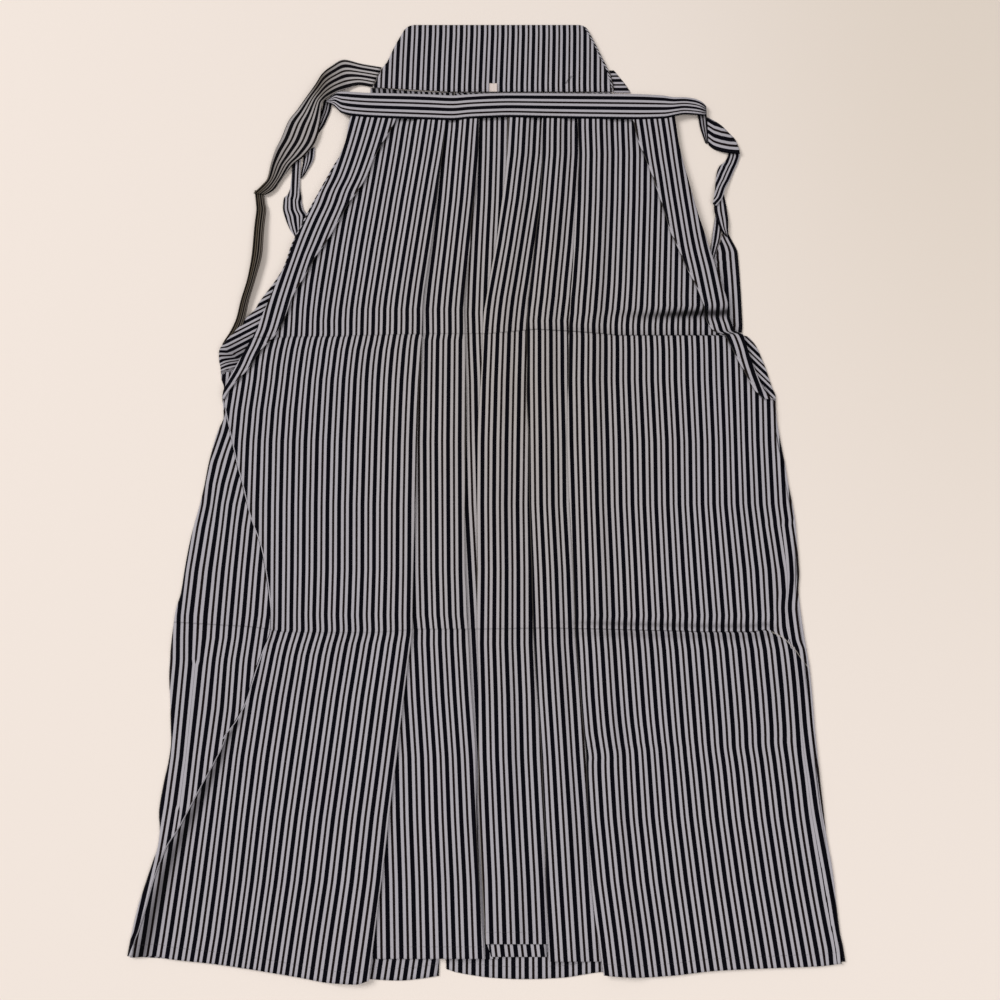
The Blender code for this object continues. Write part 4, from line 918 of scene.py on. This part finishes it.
def back_leg(side, hem_table, material):
    """One half of the back, its outer edge turned over to the front as a flap."""
    outward = -1 if side == "left" else 1
    heights = back_heights()
    edge, flap = read(BACK, heights, side), read(BACK, heights, side + "_flap")
    if side == "left":
        beside = soft_step(heights, 163, 175) * (1 - soft_step(heights, 290, 312))
        shift = (read(FRONT, heights, "left") - edge) * beside
        edge, flap = edge + shift, flap + shift
    over = 1 - soft_step(heights, -275, -258) if side == "left" else 0.0 * heights
    made = Sections(heights, outward * 1.0)
    count = left_back_count if side == "left" else right_back_count
    hem = hem_line(hem_table)
    split = LEG_SPLIT + outward * (0.4 + 2.6 * soft_step(heights, -400, HEM_FOOT))
    near = edge - outward * FOLD_REACH
    made.run(split, near - outward * 30, 0, 0, 40, count, hem)
    made.run(near - outward * 30, near, 0, 0, 12, count, hem)
    made.turn(edge, outward, 0, 1, hem(edge), counts=count(heights, edge[:, None])[:, 0])
    end = flap - outward * 1.6 * over
    rows = sorted(BACK_LEFT_STRIPES, key=lambda row: row.y)
    hidden = np.interp(heights, [row.y for row in rows], [(row.n0 + row.n1) / 2 for row in rows])
    hidden = (hidden - near) / (end - near) if side == "left" else 0.3 + 0 * heights
    hidden = np.clip(hidden, 0.08, 0.8)
    sliver = 0.12 / np.abs(end - near)
    bound = np.maximum(1 - EDGE_LINE / np.abs(end - near), 0.85)
    marks = (0 * hidden, hidden - sliver, hidden + sliver, bound - sliver, bound + sliver, 1 + 0 * hidden)
    shares = []
    for first, second, steps in zip(marks, marks[1:], (3, 1, 7, 1, 2)):
        shares += [first + (second - first) * t for t in np.linspace(0, 1, steps, endpoint=False)]
    shares = shares[1:] + [marks[-1]]
    for share in shares:
        x = near + (end - near) * share
        made.add(x, 1 + over * 0.85 * share**2, count(heights, x[:, None])[:, 0], hem(edge), 0.0)
    x, level, _, hems, fold = made.grids()
    counts = count(heights, x)
    if side == "left":
        counts[heights < FLAP_LINE_TOP, -3:] = PALE_COUNT
    y = np.repeat(heights[:, None], x.shape[1], 1)
    y = np.minimum(y, read(BACK_TOP, x, "y"))
    last = heights < HEM_TOP
    share = ((HEM_TOP - heights[last]) / (HEM_TOP - HEM_FOOT))[:, None]
    y[last] = HEM_TOP + (hems[-1][None, :] - HEM_TOP) * share
    turned = soft_step(level, 0.2, 0.9)
    own = relief(x, y) * (0.4 + 0.35 * turned * soft_step(y, 44, 30))
    z = level * LAYER + MIDDLE + tail_lift(x, y) + own
    points = np.stack([x, y, z], -1)
    name = "back_" + side + "_leg"
    # Painted shade on the strip just under the board's lower edge
    shade = 0.4 * soft_step(y, 366, 370)
    # Painted shade in the hollow of the left back's turned corner; the flap's last columns low down are darker too
    if side == "left":
        shade = shade + 0.45 * np.exp(-(((x + 236) / 17) ** 2) - ((y - 84) / 12) ** 2)
        shade[heights < FLAP_LINE_TOP, -3:] = 0.3
    mesh = cloth_mesh(name, points, counts, y / PITCH, fold, shade, True, (y - y[-1] - HEM_SEAM, x))
    return add_piece(name, mesh, material)


def front_waistband(material):
    """The band is folded at its top: its inner half meets the top of the fronts, its outer half laps them."""
    across = [np.linspace(-164, -130, 18)[:-1], np.linspace(-130, 180, 110)[:-1], np.linspace(180, 219, 20)]
    across = np.concatenate(across)
    top, bottom = read(WAISTBAND, across, "top"), read(WAISTBAND, across, "bottom")
    under, above = read(WAISTBAND, across, "under"), read(WAISTBAND, across, "over")
    reach = (above - under) / 2
    points = []
    for share in np.linspace(0, 1, 4)[:-1]:
        start = np.maximum(bottom + 1.5, 354.0)
        y = start + (top - CLOTH / 2 - reach - start) * share
        points.append((across, y, under))
    for step in range(7):
        angle = pi * (step / 6 - 0.5)
        y = top - CLOTH / 2 - reach + reach * cos(angle)
        points.append((across, y, (above + under) / 2 + reach * sin(angle)))
    for share in np.linspace(0, 1, 16)[1:]:
        start = top - CLOTH / 2 - reach
        y = start + (bottom - start) * share
        droop = 0.9 * soft_step(share, 0.55, 1.0)
        points.append((across, y, above - droop * (above - under - 1.3) / 2.6))
    grid = np.stack([np.stack(point, -1) for point in points], 1)
    folded = np.arange(grid.shape[1]) < 3
    drop = (top[:, None] - grid[:, :, 1]) / (top - bottom)[:, None] * 28.3
    counts = (16.4 - drop) / BAND_PITCH
    counts[:, folded] += 0.4
    wave = 0.1 * np.sin(across / 17.0) + 0.07 * np.sin(across / 7.3 + 1)
    ridges = 0.16 * np.sin(2 * pi * (grid[:, :, 1] - 341) / BAND_PITCH)
    grid[:, :, 2] += wave[:, None] + np.where(folded[None, :], 0, ridges)
    grid[:, :, 2] += MIDDLE
    along = np.repeat(across[:, None] / PITCH, grid.shape[1], 1)
    # Darker towards the band's right end
    darkened = np.repeat(0.6 * soft_step(across, 211, 218)[:, None], grid.shape[1], 1)
    seam = (grid[:, :, 1] - bottom[:, None] - EDGE_SEAM, grid[:, :, 0])
    mesh = cloth_mesh("front_waistband", grid, counts, along, dark=darkened, seam=seam)
    return add_piece("front_waistband", mesh, material)


def tie_piece(stretch, material):
    """A stretch of tie, pressed flat, softly domed and ribbed along its length."""
    known = np.arange(len(stretch.table))
    places = np.linspace(0, len(known) - 1, 5 * (len(known) - 1) + 1)
    shares = np.linspace(0, 1, 13)
    Numbered = namedtuple("Numbered", ("place",) + stretch.table[0]._fields)
    numbered = [Numbered(i, *row) for i, row in enumerate(stretch.table)]
    side = {name: read(numbered, places, name) for name in stretch.table[0]._fields}
    left = np.stack([side["left_x"], side["left_y"], side["left_z"]], -1)
    right = np.stack([side["right_x"], side["right_y"], side["right_z"]], -1)
    grid = left[:, None, :] + (right - left)[:, None, :] * shares[None, :, None]
    middle = left + right
    travelled = np.concatenate([[0], np.cumsum(np.hypot(*np.diff(middle[:, :2] / 2, axis=0).T))])
    pairs = np.array(stretch.counts if len(stretch.counts) > 1 else stretch.counts * len(known), float)
    ends = [np.interp(places, known, pairs[:, k])[:, None] for k in (0, 1)]
    counts = ends[0] + (ends[1] - ends[0]) * shares[None, :]
    if stretch.name == "back_tie_right":
        counts = (grid[:, :, 1] - 384.2) / 10.3
    # Darker by rows and towards one edge: partly the tie's own brown, partly painted shade
    darks = np.array(stretch.dark if len(stretch.dark) > 1 else stretch.dark * len(known), float)
    dark = np.interp(places, known, darks)[:, None] * (1.0 + 0.5 * (1 - shares[None, :]) ** 3)
    dome = 0.45 * np.sqrt(np.clip(1 - (2 * shares - 1) ** 2, 0, 1))
    ribs = 0.14 * np.cos(2 * pi * counts * 2)
    grid[:, :, 2] += TIE / 2 + 0.1 + dome[None, :] + ribs
    warp = np.repeat(travelled[:, None] / PITCH, 13, 1)
    width = np.linalg.norm(right - left, axis=1)[:, None]
    seam = (np.minimum(shares, 1 - shares)[None, :] * width - TIE_SEAM, warp * PITCH)
    mesh = cloth_mesh(stretch.name, grid, counts, warp, dark=np.clip(dark, 0, 1), seam=seam)
    return add_piece(stretch.name, mesh, material, TIE * 0.8)


def board_edges(heights):
    """Left and right ends of the back board at each height."""
    left = [p for p in BOARD_OUTLINE if p.x < -77.9]
    right = [p for p in BOARD_OUTLINE if p.x > 91.9]
    left = sorted((p.y, p.x) for p in left)
    right = sorted((p.y, p.x) for p in right)
    return between(heights, *left), between(heights, *right)


def back_board(material):
    """A stiff board under tightly wrapped cloth, with rounded edges and faint hollows."""
    ends = [0, 0.15, 0.5, 1.1, 2.0], [77.8, 78.8, 79.5, 79.9, BOARD_HEIGHT]
    heights = np.concatenate([ends[0], np.linspace(3.2, 76.5, 34), ends[1]])
    shares = np.concatenate([[0, 0.0012, 0.004, 0.009], np.linspace(0.016, 0.984, 96), [0.991, 0.996, 0.9988, 1]])
    base_x = np.array([-117.6, -40, 126])
    base_y = np.array([376.2, 371.1, 371.1])
    left, right = board_edges(heights + BOARD_FOOT)
    x = left[:, None] + (right - left)[:, None] * shares[None, :]
    floor_line = np.interp(x, base_x, base_y)
    y = floor_line + heights[:, None] * (BOARD_TOP - floor_line) / BOARD_HEIGHT
    left, right = board_edges(y)[0][:, :1], board_edges(y)[1][:, -1:]
    x = left + (right - left) * shares[None, :]
    from_end = np.minimum(np.minimum(x - left, right - x), np.minimum(heights, BOARD_HEIGHT - heights)[:, None])
    swell = BOARD_SWELL * np.sqrt(np.clip(1 - (1 - np.clip(from_end / 2.2, 0, 1)) ** 2, 0, 1))
    hollow = 0.12 * np.sin(x / 31 + y / 19) + 0.08 * np.sin(x / 11 - y / 27)
    knots = np.array([[-83, -82.6, -82], [1.7, 2.7, 3.7], [97.1, 98.0, 98.8]])
    places = np.array([380.0, 410.0, 440.0])
    marks = [np.interp(y, places, knot) for knot in knots]
    count = np.where(x < marks[1], 8 * (x - marks[0]) / (marks[1] - marks[0]),
                     8 + 9 * (x - marks[1]) / (marks[2] - marks[1]))
    top = np.stack([x, y, BOARD_MIDDLE + swell + hollow * swell / BOARD_SWELL], -1)
    under = np.stack([x, y, BOARD_MIDDLE - swell], -1)
    shell = cloth_mesh("back_board", top, count, y / PITCH, seam=(from_end - EDGE_SEAM, x + y))
    board = add_piece("back_board", shell, material, 0)
    bottom = cloth_mesh("back_board_underside", under, count, y / PITCH)
    bottom.flip_normals()
    spare = add_piece("back_board_underside", bottom, material, 0)
    heights = np.linspace(375, 449.5, 30)
    right_edge = board_edges(heights)[1]
    along = np.stack([right_edge - 0.5, heights, 0 * heights + 3.0], 1)
    piping = rod("back_board_piping", along, 1.9, 2.2, material, 1 / BAND_PITCH)
    loose = [(84.5, 390.5, 3.9), (81, 386.5, 4.1), (79, 383, 4.0), (77, 381, 3.9)]
    thread = rod("back_board_thread", loose, 0.5, 0.5, material, 0.0, turns=0.0)
    join([board, spare, piping, thread])
    weld(board, 0.02)
    return board


def join(objects):
    """Makes one piece of several."""
    with bpy.context.temp_override(active_object=objects[0], selected_editable_objects=objects):
        bpy.ops.object.join()


def weld(obj, distance):
    """Closes seams between points that meet."""
    seam = bmesh.new()
    seam.from_mesh(obj.data)
    bmesh.ops.remove_doubles(seam, verts=seam.verts, dist=distance * MM)
    seam.to_mesh(obj.data)
    seam.free()


def rod(name, path, width, height, material, repeats, sides=10, turns=1.0):
    """A cord or piping laid along a path, with its stripes wound round it."""
    path = np.array(path, float)
    lengths = np.concatenate([[0], np.cumsum(np.linalg.norm(np.diff(path, axis=0), axis=1))])
    places = np.linspace(0, lengths[-1], max(int(lengths[-1] / 1.2), 8))
    centre = np.stack([np.interp(places, lengths, path[:, k]) for k in range(3)], -1)
    along = np.gradient(centre, axis=0)
    along /= np.linalg.norm(along, axis=1)[:, None]
    across = np.stack([-along[:, 1], along[:, 0], 0 * along[:, 0]], -1)
    angles = np.linspace(0, 2 * pi, sides + 1)
    up = np.array([0.0, 0.0, 1.0])
    taper = np.sqrt(np.clip(np.minimum(places, lengths[-1] - places) / width, 0.02, 1))
    ring = across[:, None, :] * np.cos(angles)[None, :, None] * width / 2
    ring = ring + up[None, None, :] * np.sin(angles)[None, :, None] * height / 2
    grid = centre[:, None, :] + ring * taper[:, None, None]
    counts = places[:, None] * repeats + turns * angles[None, :] / (2 * pi)
    piece = add_piece(name, cloth_mesh(name, grid, counts, places[:, None] / PITCH + 0 * counts), material, 0)
    weld(piece, 0.01)
    return piece


def board_label(material):
    """The bare cloth label sewn to the board."""
    shares = np.linspace(0, 1, 13)
    width, height = 8.0, 9.6
    x = 0.4 + width * shares[None, :] + 0 * shares[:, None]
    y = 371.6 + height * shares[:, None] + 0 * shares[None, :]
    curl = 0.25 * (np.abs(2 * shares - 1) ** 3)
    z = 4.1 + curl[None, :] * 0.5 + curl[:, None] * 0.4
    inwards = np.minimum(shares, 1 - shares)
    edge = np.minimum(width * inwards[None, :], height * inwards[:, None])
    mesh = cloth_mesh("board_label", np.stack([x, y, z], -1), (x - 1) / 8, (y - 372) / 8, seam=(edge - 0.8, x + y))
    return add_piece("board_label", mesh, material, 0.4)


def add_node(tree, kind, **settings):
    """A new node, set out in columns of eight in the order that they are made."""
    column, row = divmod(len(tree.nodes), 8)
    node = tree.nodes.new(kind)
    node.location = (220 * column, -200 * row)
    for name, value in settings.items():
        setattr(node, name, value)
    return node


def fill(tree, socket, value):
    """Gives a socket a plain value, or links it to the output that supplies one."""
    if isinstance(value, bpy.types.NodeSocket):
        tree.links.new(value, socket)
    else:
        socket.default_value = value


def math_node(tree, operation, *values):
    """A sum on numbers or outputs."""
    node = add_node(tree, "ShaderNodeMath", operation=operation)
    for socket, value in zip(node.inputs, values):
        fill(tree, socket, value)
    return node.outputs[0]


def mix_node(tree, share, first, second, **settings):
    """One colour at share 0, the other at share 1."""
    node = add_node(tree, "ShaderNodeMix", data_type="RGBA", **settings)
    for socket, value in zip((0, 6, 7), (share, first, second)):
        fill(tree, node.inputs[socket], value)
    return node.outputs[2]


def noise_node(tree, across, along, scale, detail, roughness=0.5):
    """Noise over a place that two outputs give."""
    place = add_node(tree, "ShaderNodeCombineXYZ")
    fill(tree, place.inputs[0], across)
    fill(tree, place.inputs[1], along)
    node = add_node(tree, "ShaderNodeTexNoise")
    fill(tree, node.inputs["Vector"], place.outputs[0])
    for name, value in (("Scale", scale), ("Detail", detail), ("Roughness", roughness)):
        node.inputs[name].default_value = value
    return node.outputs["Fac"]


def group(name, inputs, outputs):
    """A node group with named inputs, which take a number, a place or a colour by their first value, and outputs."""
    tree = bpy.data.node_groups.new(name, "ShaderNodeTree")
    for label, value in inputs.items():
        kind = "Float" if isinstance(value, float) else "Color" if len(value) == 4 else "Vector"
        socket = tree.interface.new_socket(label, in_out="INPUT", socket_type="NodeSocket" + kind)
        socket.default_value = value
    for label, kind in outputs.items():
        tree.interface.new_socket(label, in_out="OUTPUT", socket_type="NodeSocket" + kind)
    return tree, add_node(tree, "NodeGroupInput").outputs, add_node(tree, "NodeGroupOutput").inputs


def ramp(tree, factor, *stops):
    """Grey levels between (place, level) stops."""
    node = add_node(tree, "ShaderNodeValToRGB")
    elements = node.color_ramp.elements
    for at, _ in stops[2:]:
        elements.new(at)
    for element, (at, level) in zip(list(elements), stops):
        element.position = at
        element.color = (level, level, level, 1.0)
    fill(tree, node.inputs[0], factor)
    return node.outputs[0]


def stripe_group():
    """Woven stripes: a thick dark band at each whole count and a thin brown one midway."""
    tree, given, made = group("woven_stripes", {
        "Count": 0.0, "Warp": 0.0, "Raggedness": 0.03,
        "Pale": (0.5, 0.5, 0.5, 1), "Dark": (0.01, 0.01, 0.02, 1), "Thin": (0.01, 0.01, 0.01, 1),
    }, {"Colour": "Color"})
    across = math_node(tree, "MULTIPLY", given["Count"], 6.0)
    along = math_node(tree, "MULTIPLY", given["Warp"], 2.2)
    ragged = noise_node(tree, across, along, 3.0, 3.0)
    centred = math_node(tree, "SUBTRACT", ragged, 0.5)
    shift = math_node(tree, "MULTIPLY", centred, given["Raggedness"])
    moved = math_node(tree, "ADD", given["Count"], shift)
    place_in_repeat = math_node(tree, "FRACT", math_node(tree, "ADD", moved, 0.5))
    thick = ramp(tree, place_in_repeat, (0.0, 0), (0.318, 0), (0.335, 1), (0.665, 1), (0.682, 0))
    thin = ramp(tree, place_in_repeat, (0.0, 1), (0.09, 1), (0.108, 0), (0.892, 0), (0.91, 1))
    banded = mix_node(tree, thick, given["Pale"], given["Dark"])
    fill(tree, made["Colour"], mix_node(tree, thin, banded, given["Thin"]))
    return tree


def wear_and_shade_group():
    """Slow fading over the cloth, streaks along its threads, fold edges lighter from wear and a painted highlight,
    painted crease lines, a warm patch, and painted shade and a dark tint.
    """
    tree, given, made = group("faded_cloth", {
        "Colour": (0.5, 0.5, 0.5, 1), "Count": 0.0, "Warp": 0.0, "Fold": 0.0, "Streaks": 0.12, "Fading": 0.1,
        "Worn": (0.50, 0.46, 0.42, 1), "Soiled": 0.0, "Soil": (0.13, 0.125, 0.13, 1),
        "Crease": 0.0, "Crease depth": 0.0, "Place": (0, 0, 0),
    }, {"Colour": "Color"})
    across = math_node(tree, "MULTIPLY", given["Count"], 22.0)
    along = math_node(tree, "MULTIPLY", given["Warp"], 0.9)
    streak = noise_node(tree, across, along, 1.0, 4.0)
    patch = noise_node(tree, given["Count"], given["Warp"], 0.22, 3.0)
    fine = math_node(tree, "MULTIPLY", math_node(tree, "SUBTRACT", streak, 0.5), given["Streaks"])
    slow = math_node(tree, "MULTIPLY", math_node(tree, "SUBTRACT", patch, 0.5), given["Fading"])
    scale = math_node(tree, "ADD", math_node(tree, "ADD", fine, slow), 1.0)
    shaded = add_node(tree, "ShaderNodeVectorMath", operation="SCALE")
    fill(tree, shaded.inputs[0], given["Colour"])
    fill(tree, shaded.inputs["Scale"], scale)

    # A painted shade line along each storage crease, and a painted highlight line where its depth is below 0
    apart = math_node(tree, "ABSOLUTE", math_node(tree, "SUBTRACT", given["Crease"], KEPT))
    beside = math_node(tree, "SUBTRACT", 1.0, math_node(tree, "MULTIPLY", apart, 1.15))
    line = math_node(tree, "MULTIPLY", math_node(tree, "MAXIMUM", beside, 0.0), given["Crease depth"])
    painted_highlight = math_node(tree, "MAXIMUM", math_node(tree, "MULTIPLY", line, -1.0), 0.0)
    # Fold edges and the crease highlight lines get the lighter colour: partly wear, partly painted highlight
    rub_and_highlight = math_node(tree, "ADD", math_node(tree, "MULTIPLY", given["Fold"], 0.13), painted_highlight)
    worn = mix_node(tree, rub_and_highlight, shaded.outputs[0], given["Worn"])

    nearness = add_node(tree, "ShaderNodeVectorMath", operation="MULTIPLY")
    fill(tree, nearness.inputs[0], given["Place"])
    fill(tree, nearness.inputs[1], (7.0, 4.0, 0.0))
    distance = add_node(tree, "ShaderNodeVectorMath", operation="DISTANCE")
    fill(tree, distance.inputs[0], nearness.outputs[0])
    fill(tree, distance.inputs[1], (0.2, 0.2, 0.0))
    inside = math_node(tree, "MAXIMUM", math_node(tree, "SUBTRACT", 1.3, distance.outputs["Value"]), 0.0)
    patch_share = math_node(tree, "MINIMUM", math_node(tree, "MULTIPLY", inside, 0.8), 1.0)
    warm = mix_node(tree, patch_share, worn, (1.04, 1.01, 0.90, 1.0), blend_type="MULTIPLY")

    # Painted shade: the crease lines and the dark attribute, which holds painted shade and, on the ties, some of
    # their own brown
    darkened = math_node(tree, "MAXIMUM", line, given["Soiled"])
    fill(tree, made["Colour"], mix_node(tree, darkened, warm, given["Soil"], blend_type="MULTIPLY"))
    return tree


def weave_group():
    """Height of a plain weave with faint rumples, in metres."""
    tree, given, made = group("plain_weave", {"Count": 0.0, "Warp": 0.0, "Threads": 26.0, "Rumples": 1.0},
                              {"Height": "Float"})
    waves = []
    for way in ("Count", "Warp"):
        angle = math_node(tree, "MULTIPLY", math_node(tree, "MULTIPLY", given[way], given["Threads"]), 2 * pi)
        waves.append(math_node(tree, "SINE", angle))
    over = math_node(tree, "MULTIPLY", *waves)
    across = math_node(tree, "MULTIPLY", given["Count"], 0.8)
    along = math_node(tree, "MULTIPLY", given["Warp"], 0.8)
    rumple = noise_node(tree, across, along, 1.0, 5.0, 0.6)
    soft = math_node(tree, "MULTIPLY", math_node(tree, "MULTIPLY", rumple, given["Rumples"]), 0.0005)
    thread = math_node(tree, "MULTIPLY", over, 0.00002)
    fill(tree, made["Height"], math_node(tree, "ADD", thread, soft))
    return tree


def stitch_group():
    """Hand stitches: short dashes along a line, given the distance from it as kept on a mesh."""
    tree, given, made = group("hand_stitches", {"Distance": 0.0, "Along": 0.0, "Pitch": 3.4, "Share": 0.55,
                                                "Width": 0.4}, {"Mask": "Float"})
    apart = math_node(tree, "ABSOLUTE", math_node(tree, "SUBTRACT", given["Distance"], KEPT))
    inside = math_node(tree, "SUBTRACT", 1.0, math_node(tree, "DIVIDE", apart, given["Width"]))
    line = math_node(tree, "MAXIMUM", inside, 0.0)
    place = math_node(tree, "FRACT", math_node(tree, "DIVIDE", given["Along"], given["Pitch"]))
    dash = math_node(tree, "LESS_THAN", place, given["Share"])
    fill(tree, made["Mask"], math_node(tree, "MULTIPLY", line, dash))
    return tree


def cloth_material(name, groups, pale, dark, thin, streaks=0.14, fading=0.12, sheen=0.015,
                   soil=(0.13, 0.125, 0.13), thread=(0.035, 0.033, 0.036)):
    """Striped cloth with its wear, painted shade and highlights, weave and stitches, laid out by the maps that each
    mesh carries.
    """
    material = bpy.data.materials.new(name)
    material.use_nodes = True
    tree = material.node_tree
    shader = tree.nodes["Principled BSDF"]
    for socket, value in (("Roughness", 0.82), ("Specular IOR Level", 0.05), ("Sheen Weight", sheen),
                          ("Sheen Roughness", 0.5), ("Sheen Tint", (0.9, 0.88, 0.86, 1.0))):
        shader.inputs[socket].default_value = value
    uv = add_node(tree, "ShaderNodeUVMap", uv_map="cloth")
    split = add_node(tree, "ShaderNodeSeparateXYZ")
    fill(tree, split.inputs[0], uv.outputs[0])
    stripes, wear_and_shade, weave, stitches = (add_node(tree, "ShaderNodeGroup", node_tree=made) for made in groups)
    for node in (stripes, wear_and_shade, weave):
        fill(tree, node.inputs["Count"], split.outputs[0])
        fill(tree, node.inputs["Warp"], split.outputs[1])
    for socket, colour in (("Pale", pale), ("Dark", dark), ("Thin", thin)):
        stripes.inputs[socket].default_value = (*colour, 1.0)
    wear_and_shade.inputs["Streaks"].default_value = streaks
    wear_and_shade.inputs["Fading"].default_value = fading
    wear_and_shade.inputs["Soil"].default_value = (*soil, 1.0)
    fill(tree, wear_and_shade.inputs["Colour"], stripes.outputs["Colour"])
    # The dark attribute carries painted shade, and on the ties also their own brown
    for node, socket, kept in ((wear_and_shade, "Fold", "fold"), (wear_and_shade, "Soiled", "dark"), (wear_and_shade, "Crease", "from_crease"),
                               (wear_and_shade, "Crease depth", "crease_depth"), (stitches, "Distance", "from_seam"),
                               (stitches, "Along", "along_seam")):
        attribute = add_node(tree, "ShaderNodeAttribute", attribute_name=kept)
        fill(tree, node.inputs[socket], attribute.outputs["Fac"])
    fill(tree, wear_and_shade.inputs["Place"], add_node(tree, "ShaderNodeTexCoord").outputs["Object"])
    shown = math_node(tree, "MULTIPLY", stitches.outputs["Mask"], 0.42)
    sewn = mix_node(tree, shown, wear_and_shade.outputs["Colour"], (*thread, 1.0))
    fill(tree, shader.inputs["Base Color"], sewn)
    bump = add_node(tree, "ShaderNodeBump")
    bump.inputs["Strength"].default_value = 0.9
    bump.inputs["Distance"].default_value = 1.0
    sunk = math_node(tree, "MULTIPLY", stitches.outputs["Mask"], 0.00012)
    fill(tree, bump.inputs["Height"], math_node(tree, "SUBTRACT", weave.outputs["Height"], sunk))
    fill(tree, shader.inputs["Normal"], bump.outputs[0])
    return material


def floor_material():
    """A pale floor with painted shade: a little darker and warmer towards the far right."""
    material = bpy.data.materials.new("pale_floor")
    material.use_nodes = True
    tree = material.node_tree
    shader = tree.nodes["Principled BSDF"]
    split = add_node(tree, "ShaderNodeSeparateXYZ")
    fill(tree, split.inputs[0], add_node(tree, "ShaderNodeTexCoord").outputs["Object"])
    shares = []
    for output, start, reach in ((0, 0.08, 0.4), (1, -0.42, 0.85)):
        share = add_node(tree, "ShaderNodeMapRange", interpolation_type="SMOOTHSTEP")
        share.inputs["From Max"].default_value = reach
        fill(tree, share.inputs["Value"], math_node(tree, "SUBTRACT", split.outputs[output], start))
        shares.append(share.outputs["Result"])
    corner = math_node(tree, "MULTIPLY", *shares)
    colour = mix_node(tree, corner, (0.852, 0.780, 0.728, 1.0), (0.783, 0.707, 0.632, 1.0))
    fill(tree, shader.inputs["Base Color"], colour)
    shader.inputs["Roughness"].default_value = 0.9
    return material


def plain_floor():
    """The floor, with its material."""
    bpy.ops.mesh.primitive_plane_add(size=8.0, location=(0, 0, 0))
    floor = bpy.context.active_object
    floor.name = "floor"
    floor.data.materials.append(floor_material())
    return floor


def area_light(name, place, aim, size, power, colour):
    """A round soft light that faces a point."""
    data = bpy.data.lights.new(name, "AREA")
    data.shape = "DISK"
    data.size = size
    data.energy = power
    data.color = colour
    light = bpy.data.objects.new(name, data)
    light.location = place
    light.rotation_euler = (Vector(aim) - Vector(place)).to_track_quat("-Z", "Y").to_euler()
    bpy.context.scene.collection.objects.link(light)


def light_and_camera():
    """A window at the far left, light thrown back from the near right, and a camera tilted from straight down."""
    area_light("window", (-3.3, 1.4, 3.3), (0.0, 0.0, 0.0), 2.6, 158.0, (1.0, 0.975, 0.95))
    area_light("bounce", (1.2, -1.6, 2.2), (0.15, -0.3, 0.0), 2.4, 36.0, (1.0, 0.98, 0.96))
    world = bpy.data.worlds.new("room")
    world.use_nodes = True
    background = world.node_tree.nodes["Background"]
    background.inputs[0].default_value = (1.0, 0.95, 0.91, 1.0)
    background.inputs[1].default_value = 0.32
    scene = bpy.context.scene
    scene.world = world
    scene.view_settings.view_transform = "Standard"
    data = bpy.data.cameras.new("camera")
    data.lens = 35.3
    data.sensor_width = 36.0
    camera = bpy.data.objects.new("camera", data)
    camera.location = (0.01145, -0.2732, 0.859)
    camera.rotation_euler = (radians(14.4), 0.0, 0.0)
    scene.collection.objects.link(camera)
    scene.camera = camera


def build():
    """Every piece, with its cloth and its place on the frame."""
    groups = stripe_group(), wear_and_shade_group(), weave_group(), stitch_group()
    striped = cloth_material("striped_cloth", groups, (0.405, 0.393, 0.436), (0.0010, 0.0009, 0.0032),
                             (0.0075, 0.0045, 0.0045))
    # The ties' colour for their darker parts is brown: partly their own brown, partly painted shade
    tied = cloth_material("tie_cloth", groups, (0.43, 0.41, 0.42), (0.003, 0.0025, 0.004),
                          (0.010, 0.007, 0.005), fading=0.25, soil=(0.20, 0.165, 0.11))
    label = cloth_material("label_cloth", groups, (0.72, 0.63, 0.60), (0.68, 0.59, 0.56), (0.70, 0.61, 0.57),
                           sheen=0.1, thread=(0.25, 0.2, 0.18))

    made = {}
    made["back_left_leg"] = back_leg("left", BACK_LEFT_HEM, striped)
    made["back_right_leg"] = back_leg("right", BACK_RIGHT_HEM, striped)
    heights = front_heights()
    made["front_left_leg"] = front_piece("front_left_leg", front_left_sections(heights), heights, "left", striped)
    made["front_right_leg"] = front_piece("front_right_leg", front_right_sections(heights), heights, "right", striped)
    made["slit_fold_left"] = slit_fold("slit_fold_left", SLIT_LEFT, 1, striped)
    made["slit_fold_right"] = slit_fold("slit_fold_right", SLIT_RIGHT, -1, striped)
    made["front_waistband"] = front_waistband(striped)
    for stretch in TIES:
        made[stretch.name] = tie_piece(stretch, tied if stretch.name.startswith("back_tie_left") else striped)
    made["back_board"] = back_board(striped)
    made["board_label"] = board_label(label)
    for name, piece in made.items():
        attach(piece, "root")
        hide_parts(name)
    plain_floor()
    light_and_camera()


looks = bpy.data.collections.new("looks")
bpy.context.scene.collection.children.link(looks)
build()
